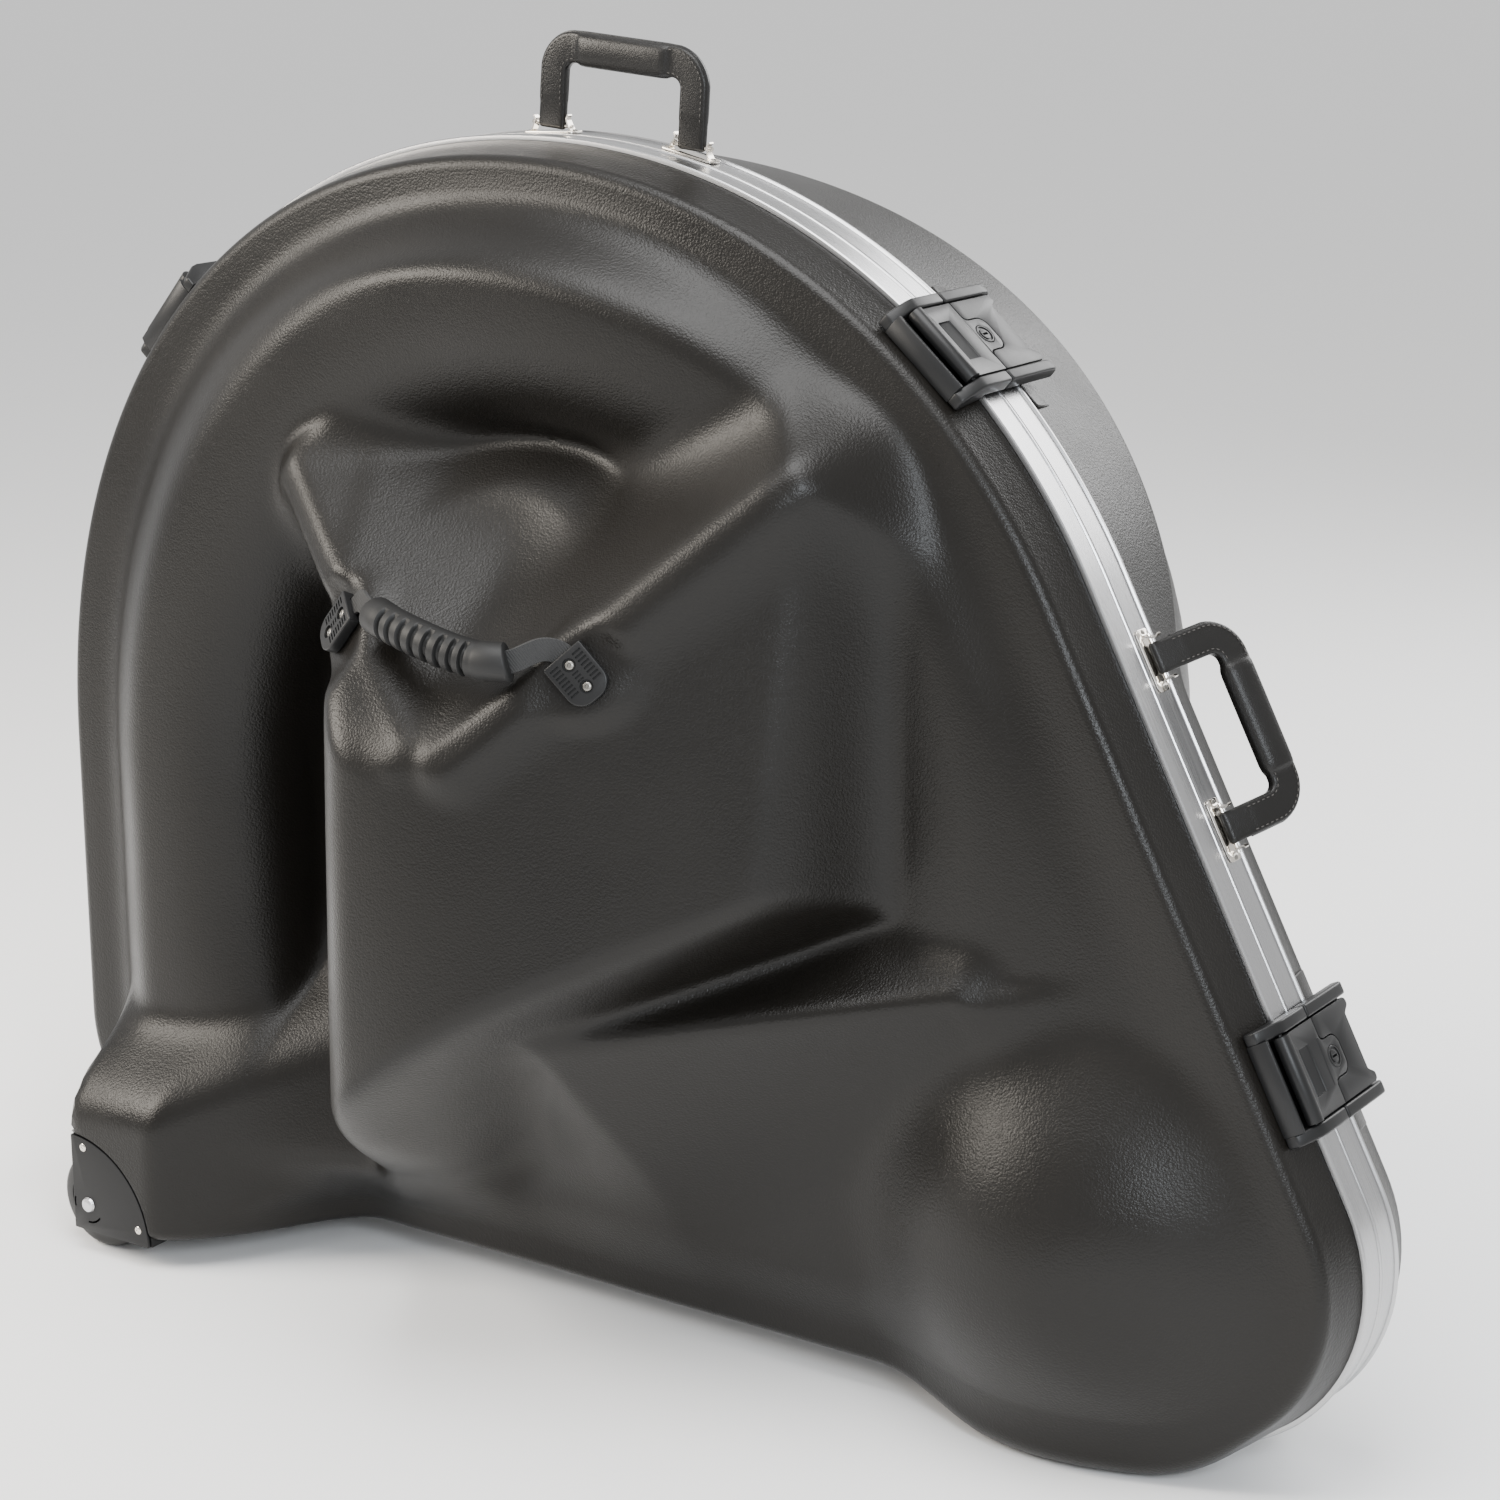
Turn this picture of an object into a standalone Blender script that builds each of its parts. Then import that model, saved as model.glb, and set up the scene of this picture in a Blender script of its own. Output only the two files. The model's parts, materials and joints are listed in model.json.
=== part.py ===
"""Wheeled sousaphone case: two deep-drawn shells that meet at an aluminium valance.

The case stands upright on two wheels at the left and on two standing pads at the lower right.
Its seam plane is y = 0 while it is modelled, the front half (the lid) lies towards -Y and the
back half towards +Y. The lid turns on a long pin hinge under the bottom edge of the valance.
Lengths are in metres.
"""

import math

import bmesh
import bpy
import numpy as np
from mathutils import Matrix, Vector
from mathutils.geometry import delaunay_2d_cdt

# Outline of the seam, seen from the front
CROWN_X = -0.120
CROWN_Z = 0.367
CROWN_RADIUS = 0.494
LEFT_X = -0.580
CROWN_POWER = 2.15
BASE_Z = 0.016
SLANT = math.radians(27.5)
TOE_RADIUS = 0.131
HEEL_RADIUS = 0.124
TOE_STEPS = 12
CROWN_STEPS = 11
BROW_STEPS = 14
HEEL_STEPS = 10

# Valance, the pair of aluminium extrusions that hold the shells' edges
VALANCE_WIDTH = 0.0255
VALANCE_WALL = 0.0020
BEAD_HEIGHT = 0.0016
BEAD_WIDTH = 0.0032
CHANNEL_DEPTH = 0.0140
SEAM_GAP = 0.0003
FIT = 0.0003

# Shells
SHELL_WALL = 0.0040
DRAFT = 0.0070
EDGE_RADIUS = 0.0100
FIELD_INSET = 0.0300
FIELD_GRID = 0.0090
FRONT_FORM_FACES = 1300
BACK_FORM_FACES = 450

# Front shell, depths measured from the seam plane
RIM_DEPTH = 0.066
ARCH_CENTRE = (-0.085, 0.370)
ARCH_HALF_WIDTH = 0.348
ARCH_HALF_HEIGHT = 0.415
ARCH_FLOOR_SHARE = 0.69
RING_INSET = 0.022
RING_CREST_INSET = 0.085
RING_DEPTH = 0.132
RING_FADED_DEPTH = 0.084
RECESS_DEPTH = 0.042
HUB_CENTRE = (-0.082, 0.535)
HUB_RADIUS = 0.098
HUB_DEPTH = 0.108
HUB_DOME = 0.012
BELLY_DEPTH = 0.298
APEX_DEPTH = 0.268
LEFT_APEX = (-0.064, 0.482)
LEFT_HORN = (-0.266, 0.634)
RIGHT_APEX = (-0.030, 0.478)
RIGHT_HORN = (0.172, 0.672)
HORN_DROP = 0.122
HORN_END_FALL = 0.60
FLANK_X = -0.138
FACET_EDGE_X = 0.172
BELLY_FOOT = (-0.133, 0.190)
POCKET_START = (0.020, 0.294)
POCKET_END = (0.170, 0.378)
ARM_START = (0.000, 0.266)
ARM_END = (0.266, 0.324)
ARM_DEPTH = 0.205
ARM_DROP = 0.104
BALL_CENTRE = (0.330, 0.150)
BALL_RADIUS = 0.150
BALL_RISE = 0.074
BALL_FACET = (0.385, 0.200)

# Back shell
BACK_RIM_DEPTH = 0.062
BACK_CROWN_DEPTH = 0.187
BACK_DISH_DEPTH = 0.165
BELL_CENTRE = (-0.050, 0.452)
BELL_DISH_RADIUS = 0.120
BELL_CROWN_START = 0.155
BELL_CROWN_END = 0.318
BELL_RADIUS = 0.368

# Standing pads under the ball bulges, flat and level with the wheels' treads
PAD_START_X = 0.290
PAD_END_X = 0.385
PAD_BLEND = 0.110

# Feet and wheels
FOOT_DEPTH = 0.195
FOOT_LEFT_X = -0.472
FOOT_RIGHT_X = -0.362
FOOT_TOP = (-0.450, 0.138)
WHEEL_CENTRE = (-0.452, 0.040)
WHEEL_RADIUS = 0.040
WHEEL_WIDTH = 0.024
WHEEL_PLANE = 0.172
CORE_RADIUS = 0.027
HUB_LENGTH = 0.030
WHEEL_SEGMENTS = 28
AXLE_RADIUS = 0.0040
AXLE_HEAD_RADIUS = 0.0062
AXLE_HEAD_HEIGHT = 0.0028
WELL_CORNER = (-0.468, 0.018)
WELL_RADIUS = 0.0790
COVER_THICKNESS = 0.0030
HOUSING_WALL = 0.0025
HOUSING_FLOOR = 0.1550
QUARTER_STEPS = 9

# Hinge under the bottom edge
HINGE_START_X = -0.330
HINGE_END_X = 0.270
KNUCKLES = 11
LEAF_THICKNESS = 0.0012
LEAF_WIDTH = 0.0220
PIN_RADIUS = 0.00125
KNUCKLE_BORE = 0.00150
KNUCKLE_STEPS = 8

# Latches
LATCH_WIDTH = 0.080
CHEEK = 0.0055
CHEEK_HEIGHT = 0.0150
GUARD_BASE = 0.0040
GUARD_FLOOR = 0.0068
GUARD_FRONT = 0.0530
GUARD_SLOPE_START = 0.0350
GUARD_BACK = 0.0620
LEVER_WIDTH = 0.060
LEVER_TOP = 0.0138
LEVER_UNDERSIDE = 0.0074
BARREL_Y = -0.0365
BARREL_Z = 0.0108
BARREL_RADIUS = 0.0060
LEVER_PIN_RADIUS = 0.0016
LEVER_END = 0.0120
TRIGGER_END = 0.0470
LOCK_Y = 0.0140
LOCK_RADIUS = 0.0075
BOSS_RADIUS = 0.0122
NOTCH_RADIUS = 0.0240

# Carry handles
HANDLE_SPAN = 0.121
STRAP_WIDTH = 0.022
STRAP_THICKNESS = 0.009
STRAP_END_THICKNESS = 0.0066
GRIP_THICKNESS = 0.0155
GRIP_HALF_LENGTH = 0.039
HANDLE_REACH = 0.0560
HANDLE_CORNER = 0.0180
PIVOT_Y = 0.0120
PIVOT_RISE = 0.0074
HANDLE_PIN_RADIUS = 0.0014
BRACKET_LENGTH = 0.044
BRACKET_WIDTH = 0.0150
BRACKET_THICKNESS = 0.0014
TONGUE_WIDTH = 0.0050
TONGUE_OUTER = 0.0033
TONGUE_INNER = 0.0019
TONGUE_OFFSET = 0.0145
SIDE_FOLD = math.radians(65)

# Flex handle across the V
CAP_LENGTH = 0.037
CAP_WIDTH = 0.031
CAP_THICKNESS = 0.0085
CAP_SEAT_RADIUS = 0.022
CAP_SEAT_BLEND = 0.040
CAP_SEAT_GAP = 0.0004
CAP_SLOT_HEIGHT = 0.0042
CAP_SLOT_LENGTH = 0.012
WEBBING_WIDTH = 0.0160
WEBBING_THICKNESS = 0.0024
GRIP_RADIUS = 0.0130
GRIP_GROOVE = 0.0028
GRIP_RIBS = 9
GRIP_START = 0.315
GRIP_END = 0.680
LEFT_CAP = {"at": (-0.1575, 0.5430), "depth": 0.2113, "slope": (0.56, -0.50)}
RIGHT_CAP = {"at": (0.0520, 0.5390), "depth": 0.2207, "slope": (-0.50, -0.30)}

# Padding and cradles
RIM_PAD_WALL = 0.0120
RIM_PAD_REACH = 0.0440
CRADLE_PLACES = ((0.067, 0.655), (0.067, 0.249), (-0.285, 0.452))
CRADLE_SIZE = (0.120, 0.050, 0.100)
CRADLE_NOTCH = 0.036


# Small helpers

def smooth_max(a, b, width):
    """The larger of two fields, blended over a band of the given width."""
    h = np.clip(0.5 + 0.5 * (a - b) / width, 0.0, 1.0)
    return b + (a - b) * h + width * h * (1.0 - h)


def smooth_min(a, b, width):
    return -smooth_max(-a, -b, width)


def ramp(value, low, high):
    """Zero below low, one above high, with a smooth rise between."""
    t = np.clip((value - low) / (high - low), 0.0, 1.0)
    return t * t * (3.0 - 2.0 * t)


def tilted(x, z, at, depth, slope_x, slope_z):
    """Depth of a plane through a point, rising by slope_x and slope_z."""
    return depth + slope_x * (x - at[0]) + slope_z * (z - at[1])


def along(x, z, start, end):
    """How far each point lies along a line, its distance from it and which side it is on."""
    dx, dz = end[0] - start[0], end[1] - start[1]
    t = ((x - start[0]) * dx + (z - start[1]) * dz) / (dx * dx + dz * dz)
    held = np.clip(t, 0.0, 1.0)
    distance = np.hypot(x - start[0] - held * dx, z - start[1] - held * dz)
    side = ((x - start[0]) * dz - (z - start[1]) * dx) / math.hypot(dx, dz)
    return t, held, distance, side


def material(name, colour, roughness, metallic=0.0):
    made = bpy.data.materials.new(name)
    made.use_nodes = True
    shader = made.node_tree.nodes["Principled BSDF"]
    shader.inputs["Base Color"].default_value = (*colour, 1.0)
    shader.inputs["Roughness"].default_value = roughness
    shader.inputs["Metallic"].default_value = metallic
    made.diffuse_color = (*colour, 1.0)
    return made


def finish(name, bm, surface, matrix=None, smooth=40.0):
    """Turns a bmesh into a named object that hangs from the case's frame."""
    bmesh.ops.remove_doubles(bm, verts=bm.verts, dist=1e-6)
    bmesh.ops.recalc_face_normals(bm, faces=bm.faces)
    mesh = bpy.data.meshes.new(name)
    bm.to_mesh(mesh)
    bm.free()
    mesh.materials.append(surface)
    mesh.shade_smooth()
    mesh.set_sharp_from_angle(angle=math.radians(smooth))
    return place(name, mesh, matrix)


def place(name, mesh, matrix=None):
    made = bpy.data.objects.new(name, mesh)
    bpy.context.collection.objects.link(made)
    made.parent = bpy.data.objects["case_frame"]
    if matrix is not None:
        made.matrix_local = matrix
    return made


def loft(bm, sections, close_loop=False, capped=True):
    """Skins a row of closed sections that have the same number of points."""
    rows = [[bm.verts.new(p) for p in section] for section in sections]
    pairs = list(zip(rows, rows[1:]))
    if close_loop:
        pairs.append((rows[-1], rows[0]))
    for low, high in pairs:
        count = len(low)
        for i in range(count):
            j = (i + 1) % count
            bm.faces.new((low[i], low[j], high[j], high[i]))
    if capped and not close_loop:
        bm.faces.new(rows[0])
        bm.faces.new(list(reversed(rows[-1])))
    return rows


def prism(bm, profile, start, end, axis="X"):
    """Extrudes a closed profile along one axis, the profile's two numbers being the other two."""
    def point(u, v, w):
        if axis == "X":
            return Vector((w, u, v))
        if axis == "Y":
            return Vector((u, w, v))
        return Vector((u, v, w))

    loft(bm, [[point(u, v, w) for u, v in profile] for w in (start, end)])


def revolve(bm, profile, segments, axis_matrix):
    """Turns a closed profile of radius and height points round the matrix's Z axis."""
    sections = []
    for i in range(segments):
        angle = 2.0 * math.pi * i / segments
        sections.append([
            axis_matrix @ Vector((r * math.cos(angle), r * math.sin(angle), h)) for r, h in profile
        ])
    loft(bm, sections, close_loop=True)


def rod(bm, radius, start, end, segments, matrix=None):
    """A round bar along Z, moved by the matrix."""
    ring = [(radius * math.cos(2 * math.pi * i / segments), radius * math.sin(2 * math.pi * i / segments))
            for i in range(segments)]
    turn = matrix or Matrix.Identity(4)
    loft(bm, [[turn @ Vector((u, v, w)) for u, v in ring] for w in (start, end)])


def carve(target, cutters, operation="DIFFERENCE"):
    """Applies exact Booleans to the target and removes the cutters."""
    for cutter in cutters:
        cutter.hide_render = True
        cutter.display_type = "WIRE"
        step = target.modifiers.new(cutter.name, "BOOLEAN")
        step.operation = operation
        step.solver = "EXACT"
        step.object = cutter
    bpy.context.view_layer.update()
    evaluated = target.evaluated_get(bpy.context.evaluated_depsgraph_get())
    mesh = bpy.data.meshes.new_from_object(evaluated)
    target.modifiers.clear()
    target.data = mesh
    for cutter in cutters:
        bpy.data.objects.remove(cutter)
    return target


# Outline of the case

def toe_centre():
    normal = (math.cos(SLANT), math.sin(SLANT))
    z = BASE_Z + TOE_RADIUS
    x = CROWN_X + (CROWN_RADIUS - TOE_RADIUS - normal[1] * (z - CROWN_Z)) / normal[0]
    return x, z


def slant_point(distance):
    """A point on the slanted right side, measured down from the crown, with its outward normal."""
    normal = (math.cos(SLANT), math.sin(SLANT))
    x = CROWN_X + CROWN_RADIUS * normal[0] + distance * normal[1]
    z = CROWN_Z + CROWN_RADIUS * normal[1] - distance * normal[0]
    return (x, z), normal


def crown_point(angle):
    normal = (math.cos(angle), math.sin(angle))
    return (CROWN_X + CROWN_RADIUS * normal[0], CROWN_Z + CROWN_RADIUS * normal[1]), normal


def brow_point(angle):
    """A point on the fuller upper left quarter, between the crown and the straight left side."""
    half = CROWN_X - LEFT_X
    c, s = abs(math.cos(angle)), abs(math.sin(angle))
    power = 2.0 / CROWN_POWER
    u, v = c ** power, s ** power
    nx = -(u ** (CROWN_POWER - 1.0)) / half
    nz = v ** (CROWN_POWER - 1.0) / CROWN_RADIUS
    length = math.hypot(nx, nz)
    return (CROWN_X - half * u, CROWN_Z + CROWN_RADIUS * v), (nx / length, nz / length)


def outline_stations(with_straights):
    """Points round the outline with their normals, anticlockwise from the bottom of the toe."""
    stations = []
    cx, cz = toe_centre()
    hx, hz = LEFT_X + HEEL_RADIUS, BASE_Z + HEEL_RADIUS

    def arc(x, z, radius, start, end, steps, last):
        for i in range(steps + (1 if last else 0)):
            a = start + (end - start) * i / steps
            n = (math.cos(a), math.sin(a))
            stations.append(((x + radius * n[0], z + radius * n[1]), n))

    def straight(start, end, normal, marks):
        for t in marks:
            stations.append(((start[0] + (end[0] - start[0]) * t, start[1] + (end[1] - start[1]) * t), normal))

    arc(cx, cz, TOE_RADIUS, -math.pi / 2, SLANT, TOE_STEPS, True)
    slant_low, normal = stations[-1]
    slant_high = crown_point(SLANT)[0]
    if with_straights:
        straight(slant_low, slant_high, normal, [i / 8 for i in range(1, 8)])
    arc(CROWN_X, CROWN_Z, CROWN_RADIUS, SLANT, math.pi / 2, CROWN_STEPS, False)
    for i in range(BROW_STEPS + 1):
        stations.append(brow_point(math.pi / 2 + math.pi / 2 * i / BROW_STEPS))
    if with_straights:
        straight((LEFT_X, CROWN_Z), (LEFT_X, hz), (-1.0, 0.0), [i / 5 for i in range(1, 5)])
    arc(hx, hz, HEEL_RADIUS, math.pi, 1.5 * math.pi, HEEL_STEPS, True)
    if with_straights:
        places = [-0.425, -0.393, FOOT_RIGHT_X, FOOT_RIGHT_X + 0.017, FOOT_RIGHT_X + 0.045]
        places += [FOOT_RIGHT_X + 0.045 + i * 0.0525 for i in range(1, 9)]
        places += [PAD_START_X - PAD_BLEND * k for k in (0.66, 0.33)]
        places += [PAD_START_X, 0.5 * (PAD_START_X + PAD_END_X)]
        length = cx - hx
        straight((hx, BASE_Z), (cx, BASE_Z), (0.0, -1.0), sorted((x - hx) / length for x in places))
    return stations


def inset_distance(x, z, loop):
    """Distance of each point from the outline."""
    start = np.array(loop)
    step = np.roll(start, -1, axis=0) - start
    best = np.full(np.shape(x), 9.0)
    for (ax, az), (dx, dz) in zip(start, step):
        t = np.clip(((x - ax) * dx + (z - az) * dz) / (dx * dx + dz * dz), 0.0, 1.0)
        best = np.minimum(best, (x - ax - t * dx) ** 2 + (z - az - t * dz) ** 2)
    return np.sqrt(best)


# Forms of the two shells, as depth over the seam plane

def foot_form(x, z):
    """Foot arm that reaches out to the wheel at the lower left."""
    front = FOOT_DEPTH - 0.85 * np.maximum(0.0, x - FOOT_RIGHT_X + 0.022)
    left = tilted(x, z, (FOOT_LEFT_X, 0.0), FOOT_DEPTH, 7.0, 0.0)
    top = tilted(x, z, FOOT_TOP, 0.190, 0.10, -2.0)
    _, _, _, side = along(x, z, (FOOT_RIGHT_X - 0.006, BASE_Z), (-0.280, 0.105))
    arch = 0.17 - 2.6 * side
    foot = smooth_min(front, left, 0.008)
    foot = smooth_min(foot, top, 0.06)
    return smooth_min(foot, arch, 0.03)


def ball_form(x, z, base):
    """Rounded bulge over the instrument's bow at the lower right, with a flat facet to its right."""
    reach = np.hypot(x - BALL_CENTRE[0], z - BALL_CENTRE[1]) / BALL_RADIUS
    dome = base + BALL_RISE * (1.0 - reach ** 2)
    facet = tilted(x, z, BALL_FACET, base + BALL_RISE, -0.55, 0.10)
    return smooth_min(dome, facet, 0.02)


def coil_form(x, z, edge):
    """Rim, raised coil ring and the arch-shaped recess inside it."""
    across = (x - ARCH_CENTRE[0]) / ARCH_HALF_WIDTH
    up = np.maximum(0.0, z - ARCH_CENTRE[1]) / ARCH_HALF_HEIGHT
    arch = np.hypot(across, up)
    bearing = np.arctan2(z - ARCH_CENTRE[1], x - ARCH_CENTRE[0])
    fade = np.where(z > ARCH_CENTRE[1], ramp(bearing, 0.55, 1.7), 1.0 - ramp(across, -0.7, 0.0))
    crest = RING_FADED_DEPTH + (RING_DEPTH - RING_FADED_DEPTH) * fade
    outside = np.maximum(0.0, arch - 1.0) * ARCH_HALF_WIDTH
    share = edge / np.maximum(1e-6, edge + outside)
    rise = ramp(share, 0.25, 1.0) * ramp(edge, RING_INSET, RING_CREST_INSET)
    ring = RIM_DEPTH + (crest - RIM_DEPTH) * rise
    tube = np.clip((1.0 - arch) / (1.0 - ARCH_FLOOR_SHARE), 0.0, 1.0)
    recess = RECESS_DEPTH + (ring - RECESS_DEPTH) * np.sqrt(1.0 - tube ** 2.4)
    left_end = ramp(z, 0.08, 0.30)
    right_end = ramp(z, 0.27, 0.37)
    sill = left_end + (right_end - left_end) * ramp(x, ARCH_CENTRE[0] - 0.05, ARCH_CENTRE[0] + 0.05)
    form = ring + (recess - ring) * sill
    away = np.hypot(x - HUB_CENTRE[0], z - HUB_CENTRE[1])
    dome = HUB_DEPTH + HUB_DOME * (1.0 - np.minimum(1.0, away / HUB_RADIUS) ** 2)
    return smooth_max(form, dome - 1.5 * np.maximum(0.0, away - HUB_RADIUS), 0.022)


def belly_form(x, z):
    """Belly with its V-shaped brow, horns, right facet and pocket."""
    front = tilted(x, z, (-0.05, 0.0), BELLY_DEPTH, 0.16, 0.0)
    facet = tilted(x, z, (-0.04, 0.47), APEX_DEPTH + 0.010, -0.58, -0.10)
    steep = tilted(x, z, (FLANK_X, 0.35), 0.290, 2.4, -0.05)
    bottom = tilted(x, z, BELLY_FOOT, 0.264, -0.40, 1.8)
    right = tilted(x, z, (FACET_EDGE_X, 0.45), 0.150, -2.6, 0.0)
    mound = smooth_min(front, facet, 0.06)
    mound = smooth_min(mound, steep, 0.10)
    mound = smooth_min(mound, bottom, 0.05)
    mound = smooth_min(mound, right, 0.03)
    t, _, _, side = along(x, z, POCKET_START, POCKET_END)
    mound = smooth_min(mound, 0.215 - 0.075 * t - 2.4 * side, 0.02)
    t1, held1, away1, side1 = along(x, z, LEFT_APEX, LEFT_HORN)
    t2, held2, away2, side2 = along(x, z, RIGHT_APEX, RIGHT_HORN)
    left_wall = APEX_DEPTH + 0.007 - HORN_DROP * t1 - 1.5 * side1
    right_wall = APEX_DEPTH + 0.007 - HORN_DROP * t2 + 1.5 * side2
    mound = smooth_min(mound, smooth_max(left_wall, right_wall, 0.05), 0.03)
    mound = smooth_min(mound, APEX_DEPTH - HORN_DROP + 0.006 - 1.2 * (t2 - 0.95), 0.03)
    for t, held, away in ((t1, held1, away1), (t2, held2, away2)):
        horn = APEX_DEPTH - HORN_DROP * held - 1.3 * np.maximum(0.0, away - 0.010)
        mound = smooth_max(mound, horn - HORN_END_FALL * np.maximum(0.0, t - 1.0), 0.03)
    return mound


def arm_form(x, z):
    """Ridge that runs from the belly to the right, below the pocket."""
    _, held, away, side = along(x, z, ARM_START, ARM_END)
    fall = np.where(side < 0.0, 1.6, 0.75)
    return ARM_DEPTH - ARM_DROP * held - fall * np.maximum(0.0, away - 0.004)


def with_seats(x, z, depth):
    """Flattens the form under the two caps of the flex handle."""
    for cap in (LEFT_CAP, RIGHT_CAP):
        reach = np.hypot(x - cap["at"][0], z - cap["at"][1])
        weight = 1.0 - ramp(reach, CAP_SEAT_RADIUS, CAP_SEAT_BLEND)
        flat = tilted(x, z, cap["at"], cap["depth"], *cap["slope"])
        depth = depth + (flat - depth) * weight
    return depth


def front_depth(x, z, edge):
    """Front shell: coil ring with its recess, belly, arm, ball and foot."""
    depth = coil_form(x, z, edge)
    depth = smooth_max(depth, belly_form(x, z), 0.045)
    depth = smooth_max(depth, arm_form(x, z), 0.04)
    depth = smooth_max(depth, ball_form(x, z, RIM_DEPTH), 0.03)
    depth = smooth_max(depth, foot_form(x, z), 0.045)
    return with_seats(x, z, depth)


def back_depth(x, z, edge):
    """Back shell: rim, the round bulge over the bell with a shallow dish, and the same foot and ball."""
    reach = np.hypot(x - BELL_CENTRE[0], z - BELL_CENTRE[1])
    crown = BACK_DISH_DEPTH + (BACK_CROWN_DEPTH - BACK_DISH_DEPTH) * ramp(reach, BELL_DISH_RADIUS, BELL_CROWN_START)
    shoulder = BACK_CROWN_DEPTH - 0.5 * np.maximum(0.0, reach - BELL_CROWN_END)
    flank = BACK_RIM_DEPTH + 3.0 * (BELL_RADIUS - reach) + 0.060
    bulge = smooth_min(np.minimum(crown, shoulder), flank, 0.02)
    depth = smooth_max(np.full_like(reach, BACK_RIM_DEPTH), bulge, 0.02)
    depth = np.where(edge < 0.02, np.minimum(depth, BACK_RIM_DEPTH + 4.0 * edge), depth)
    depth = smooth_max(depth, ball_form(x, z, BACK_RIM_DEPTH), 0.03)
    return smooth_max(depth, foot_form(x, z), 0.025)


# Shell construction

def pad_weight(x, z):
    """One over the standing pad, fading to zero to either side."""
    low = ramp(x, PAD_START_X - PAD_BLEND, PAD_START_X)
    high = 1.0 - ramp(x, PAD_END_X + 0.012, PAD_END_X + PAD_BLEND)
    return float(low * high * (1.0 - ramp(z, BASE_Z + 0.01, BASE_Z + 0.06)))


def wall_rows():
    """Rows of the side wall: share of the wall, angle round the rim edge, and the pad's share."""
    rows = [("hem", 0.0, 0.0), ("lip", 0.0, 0.0), ("wall", 0.30, 1.0), ("wall", 0.75, 1.0)]
    for i in range(4):
        rows.append(("edge", i / 3, (0.80, 0.62, 0.45, 0.30)[i]))
    return rows


def shell_surface(bm, depth_at, sign):
    """Outer surface of one shell: side wall, rounded rim edge and the drawn form."""
    stations = outline_stations(True)
    loop = [point for point, _ in outline_stations(False)]

    def sample(x, z):
        x, z = np.atleast_1d(x), np.atleast_1d(z)
        return depth_at(x, z, inset_distance(x, z, loop))

    rings = []
    for kind, share, lift in wall_rows():
        ring = []
        for (x, z), (nx, nz) in stations:
            inner = (x - 0.022 * nx, z - 0.022 * nz)
            end = float(sample(*inner)[0])
            if kind == "hem":
                inset, depth = FIT, SEAM_GAP + VALANCE_WALL + FIT
            elif kind == "lip":
                inset, depth = FIT, VALANCE_WIDTH + 0.001
            elif kind == "wall":
                inset, depth = FIT + DRAFT * share, VALANCE_WIDTH + share * (end - EDGE_RADIUS - VALANCE_WIDTH)
            else:
                turn = 0.5 * math.pi * share
                inset = FIT + DRAFT + EDGE_RADIUS * (1.0 - math.cos(turn))
                depth = end - EDGE_RADIUS + EDGE_RADIUS * math.sin(turn)
            out = -inset + (inset + BASE_Z) * lift * pad_weight(x, z)
            ring.append(bm.verts.new((x + nx * out, sign * depth, z + nz * out)))
        rings.append(ring)

    field_loop = [(x - nx * FIELD_INSET, z - nz * FIELD_INSET) for (x, z), (nx, nz) in stations]
    xs = np.arange(LEFT_X, toe_centre()[0] + TOE_RADIUS, FIELD_GRID)
    zs = np.arange(BASE_Z, CROWN_Z + CROWN_RADIUS, FIELD_GRID)
    gx, gz = (a.ravel() for a in np.meshgrid(xs, zs))
    deep = inside(gx, gz, field_loop) & (inset_distance(gx, gz, field_loop) > 0.5 * FIELD_GRID)
    points = field_loop + list(zip(gx[deep].tolist(), gz[deep].tolist()))
    count = len(field_loop)
    edges = [(i, (i + 1) % count) for i in range(count)]
    flat, _, triangles, origin, _, _ = delaunay_2d_cdt([Vector(p) for p in points], edges, [], 1, 1e-7)
    heights = sample(np.array([p.x for p in flat]), np.array([p.y for p in flat]))
    field = [bm.verts.new((p.x, sign * float(d), p.y)) for p, d in zip(flat, heights)]
    for triangle in triangles:
        bm.faces.new([field[i] for i in triangle])
    rim = [None] * count
    for i, sources in enumerate(origin):
        for s in sources:
            if s < count:
                rim[s] = field[i]
    rings.append(rim)
    for low, high in zip(rings, rings[1:]):
        for i in range(count):
            j = (i + 1) % count
            bm.faces.new((low[i], low[j], high[j], high[i]))
    return field, set(rim)


def inside(x, z, loop):
    """Whether each point lies inside a closed loop."""
    found = np.zeros(np.shape(x), bool)
    for (ax, az), (bx, bz) in zip(loop, loop[1:] + loop[:1]):
        if az == bz:
            continue
        crosses = (az > z) != (bz > z)
        found ^= crosses & (x < (bx - ax) * (z - az) / (bz - az) + ax)
    return found


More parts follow.
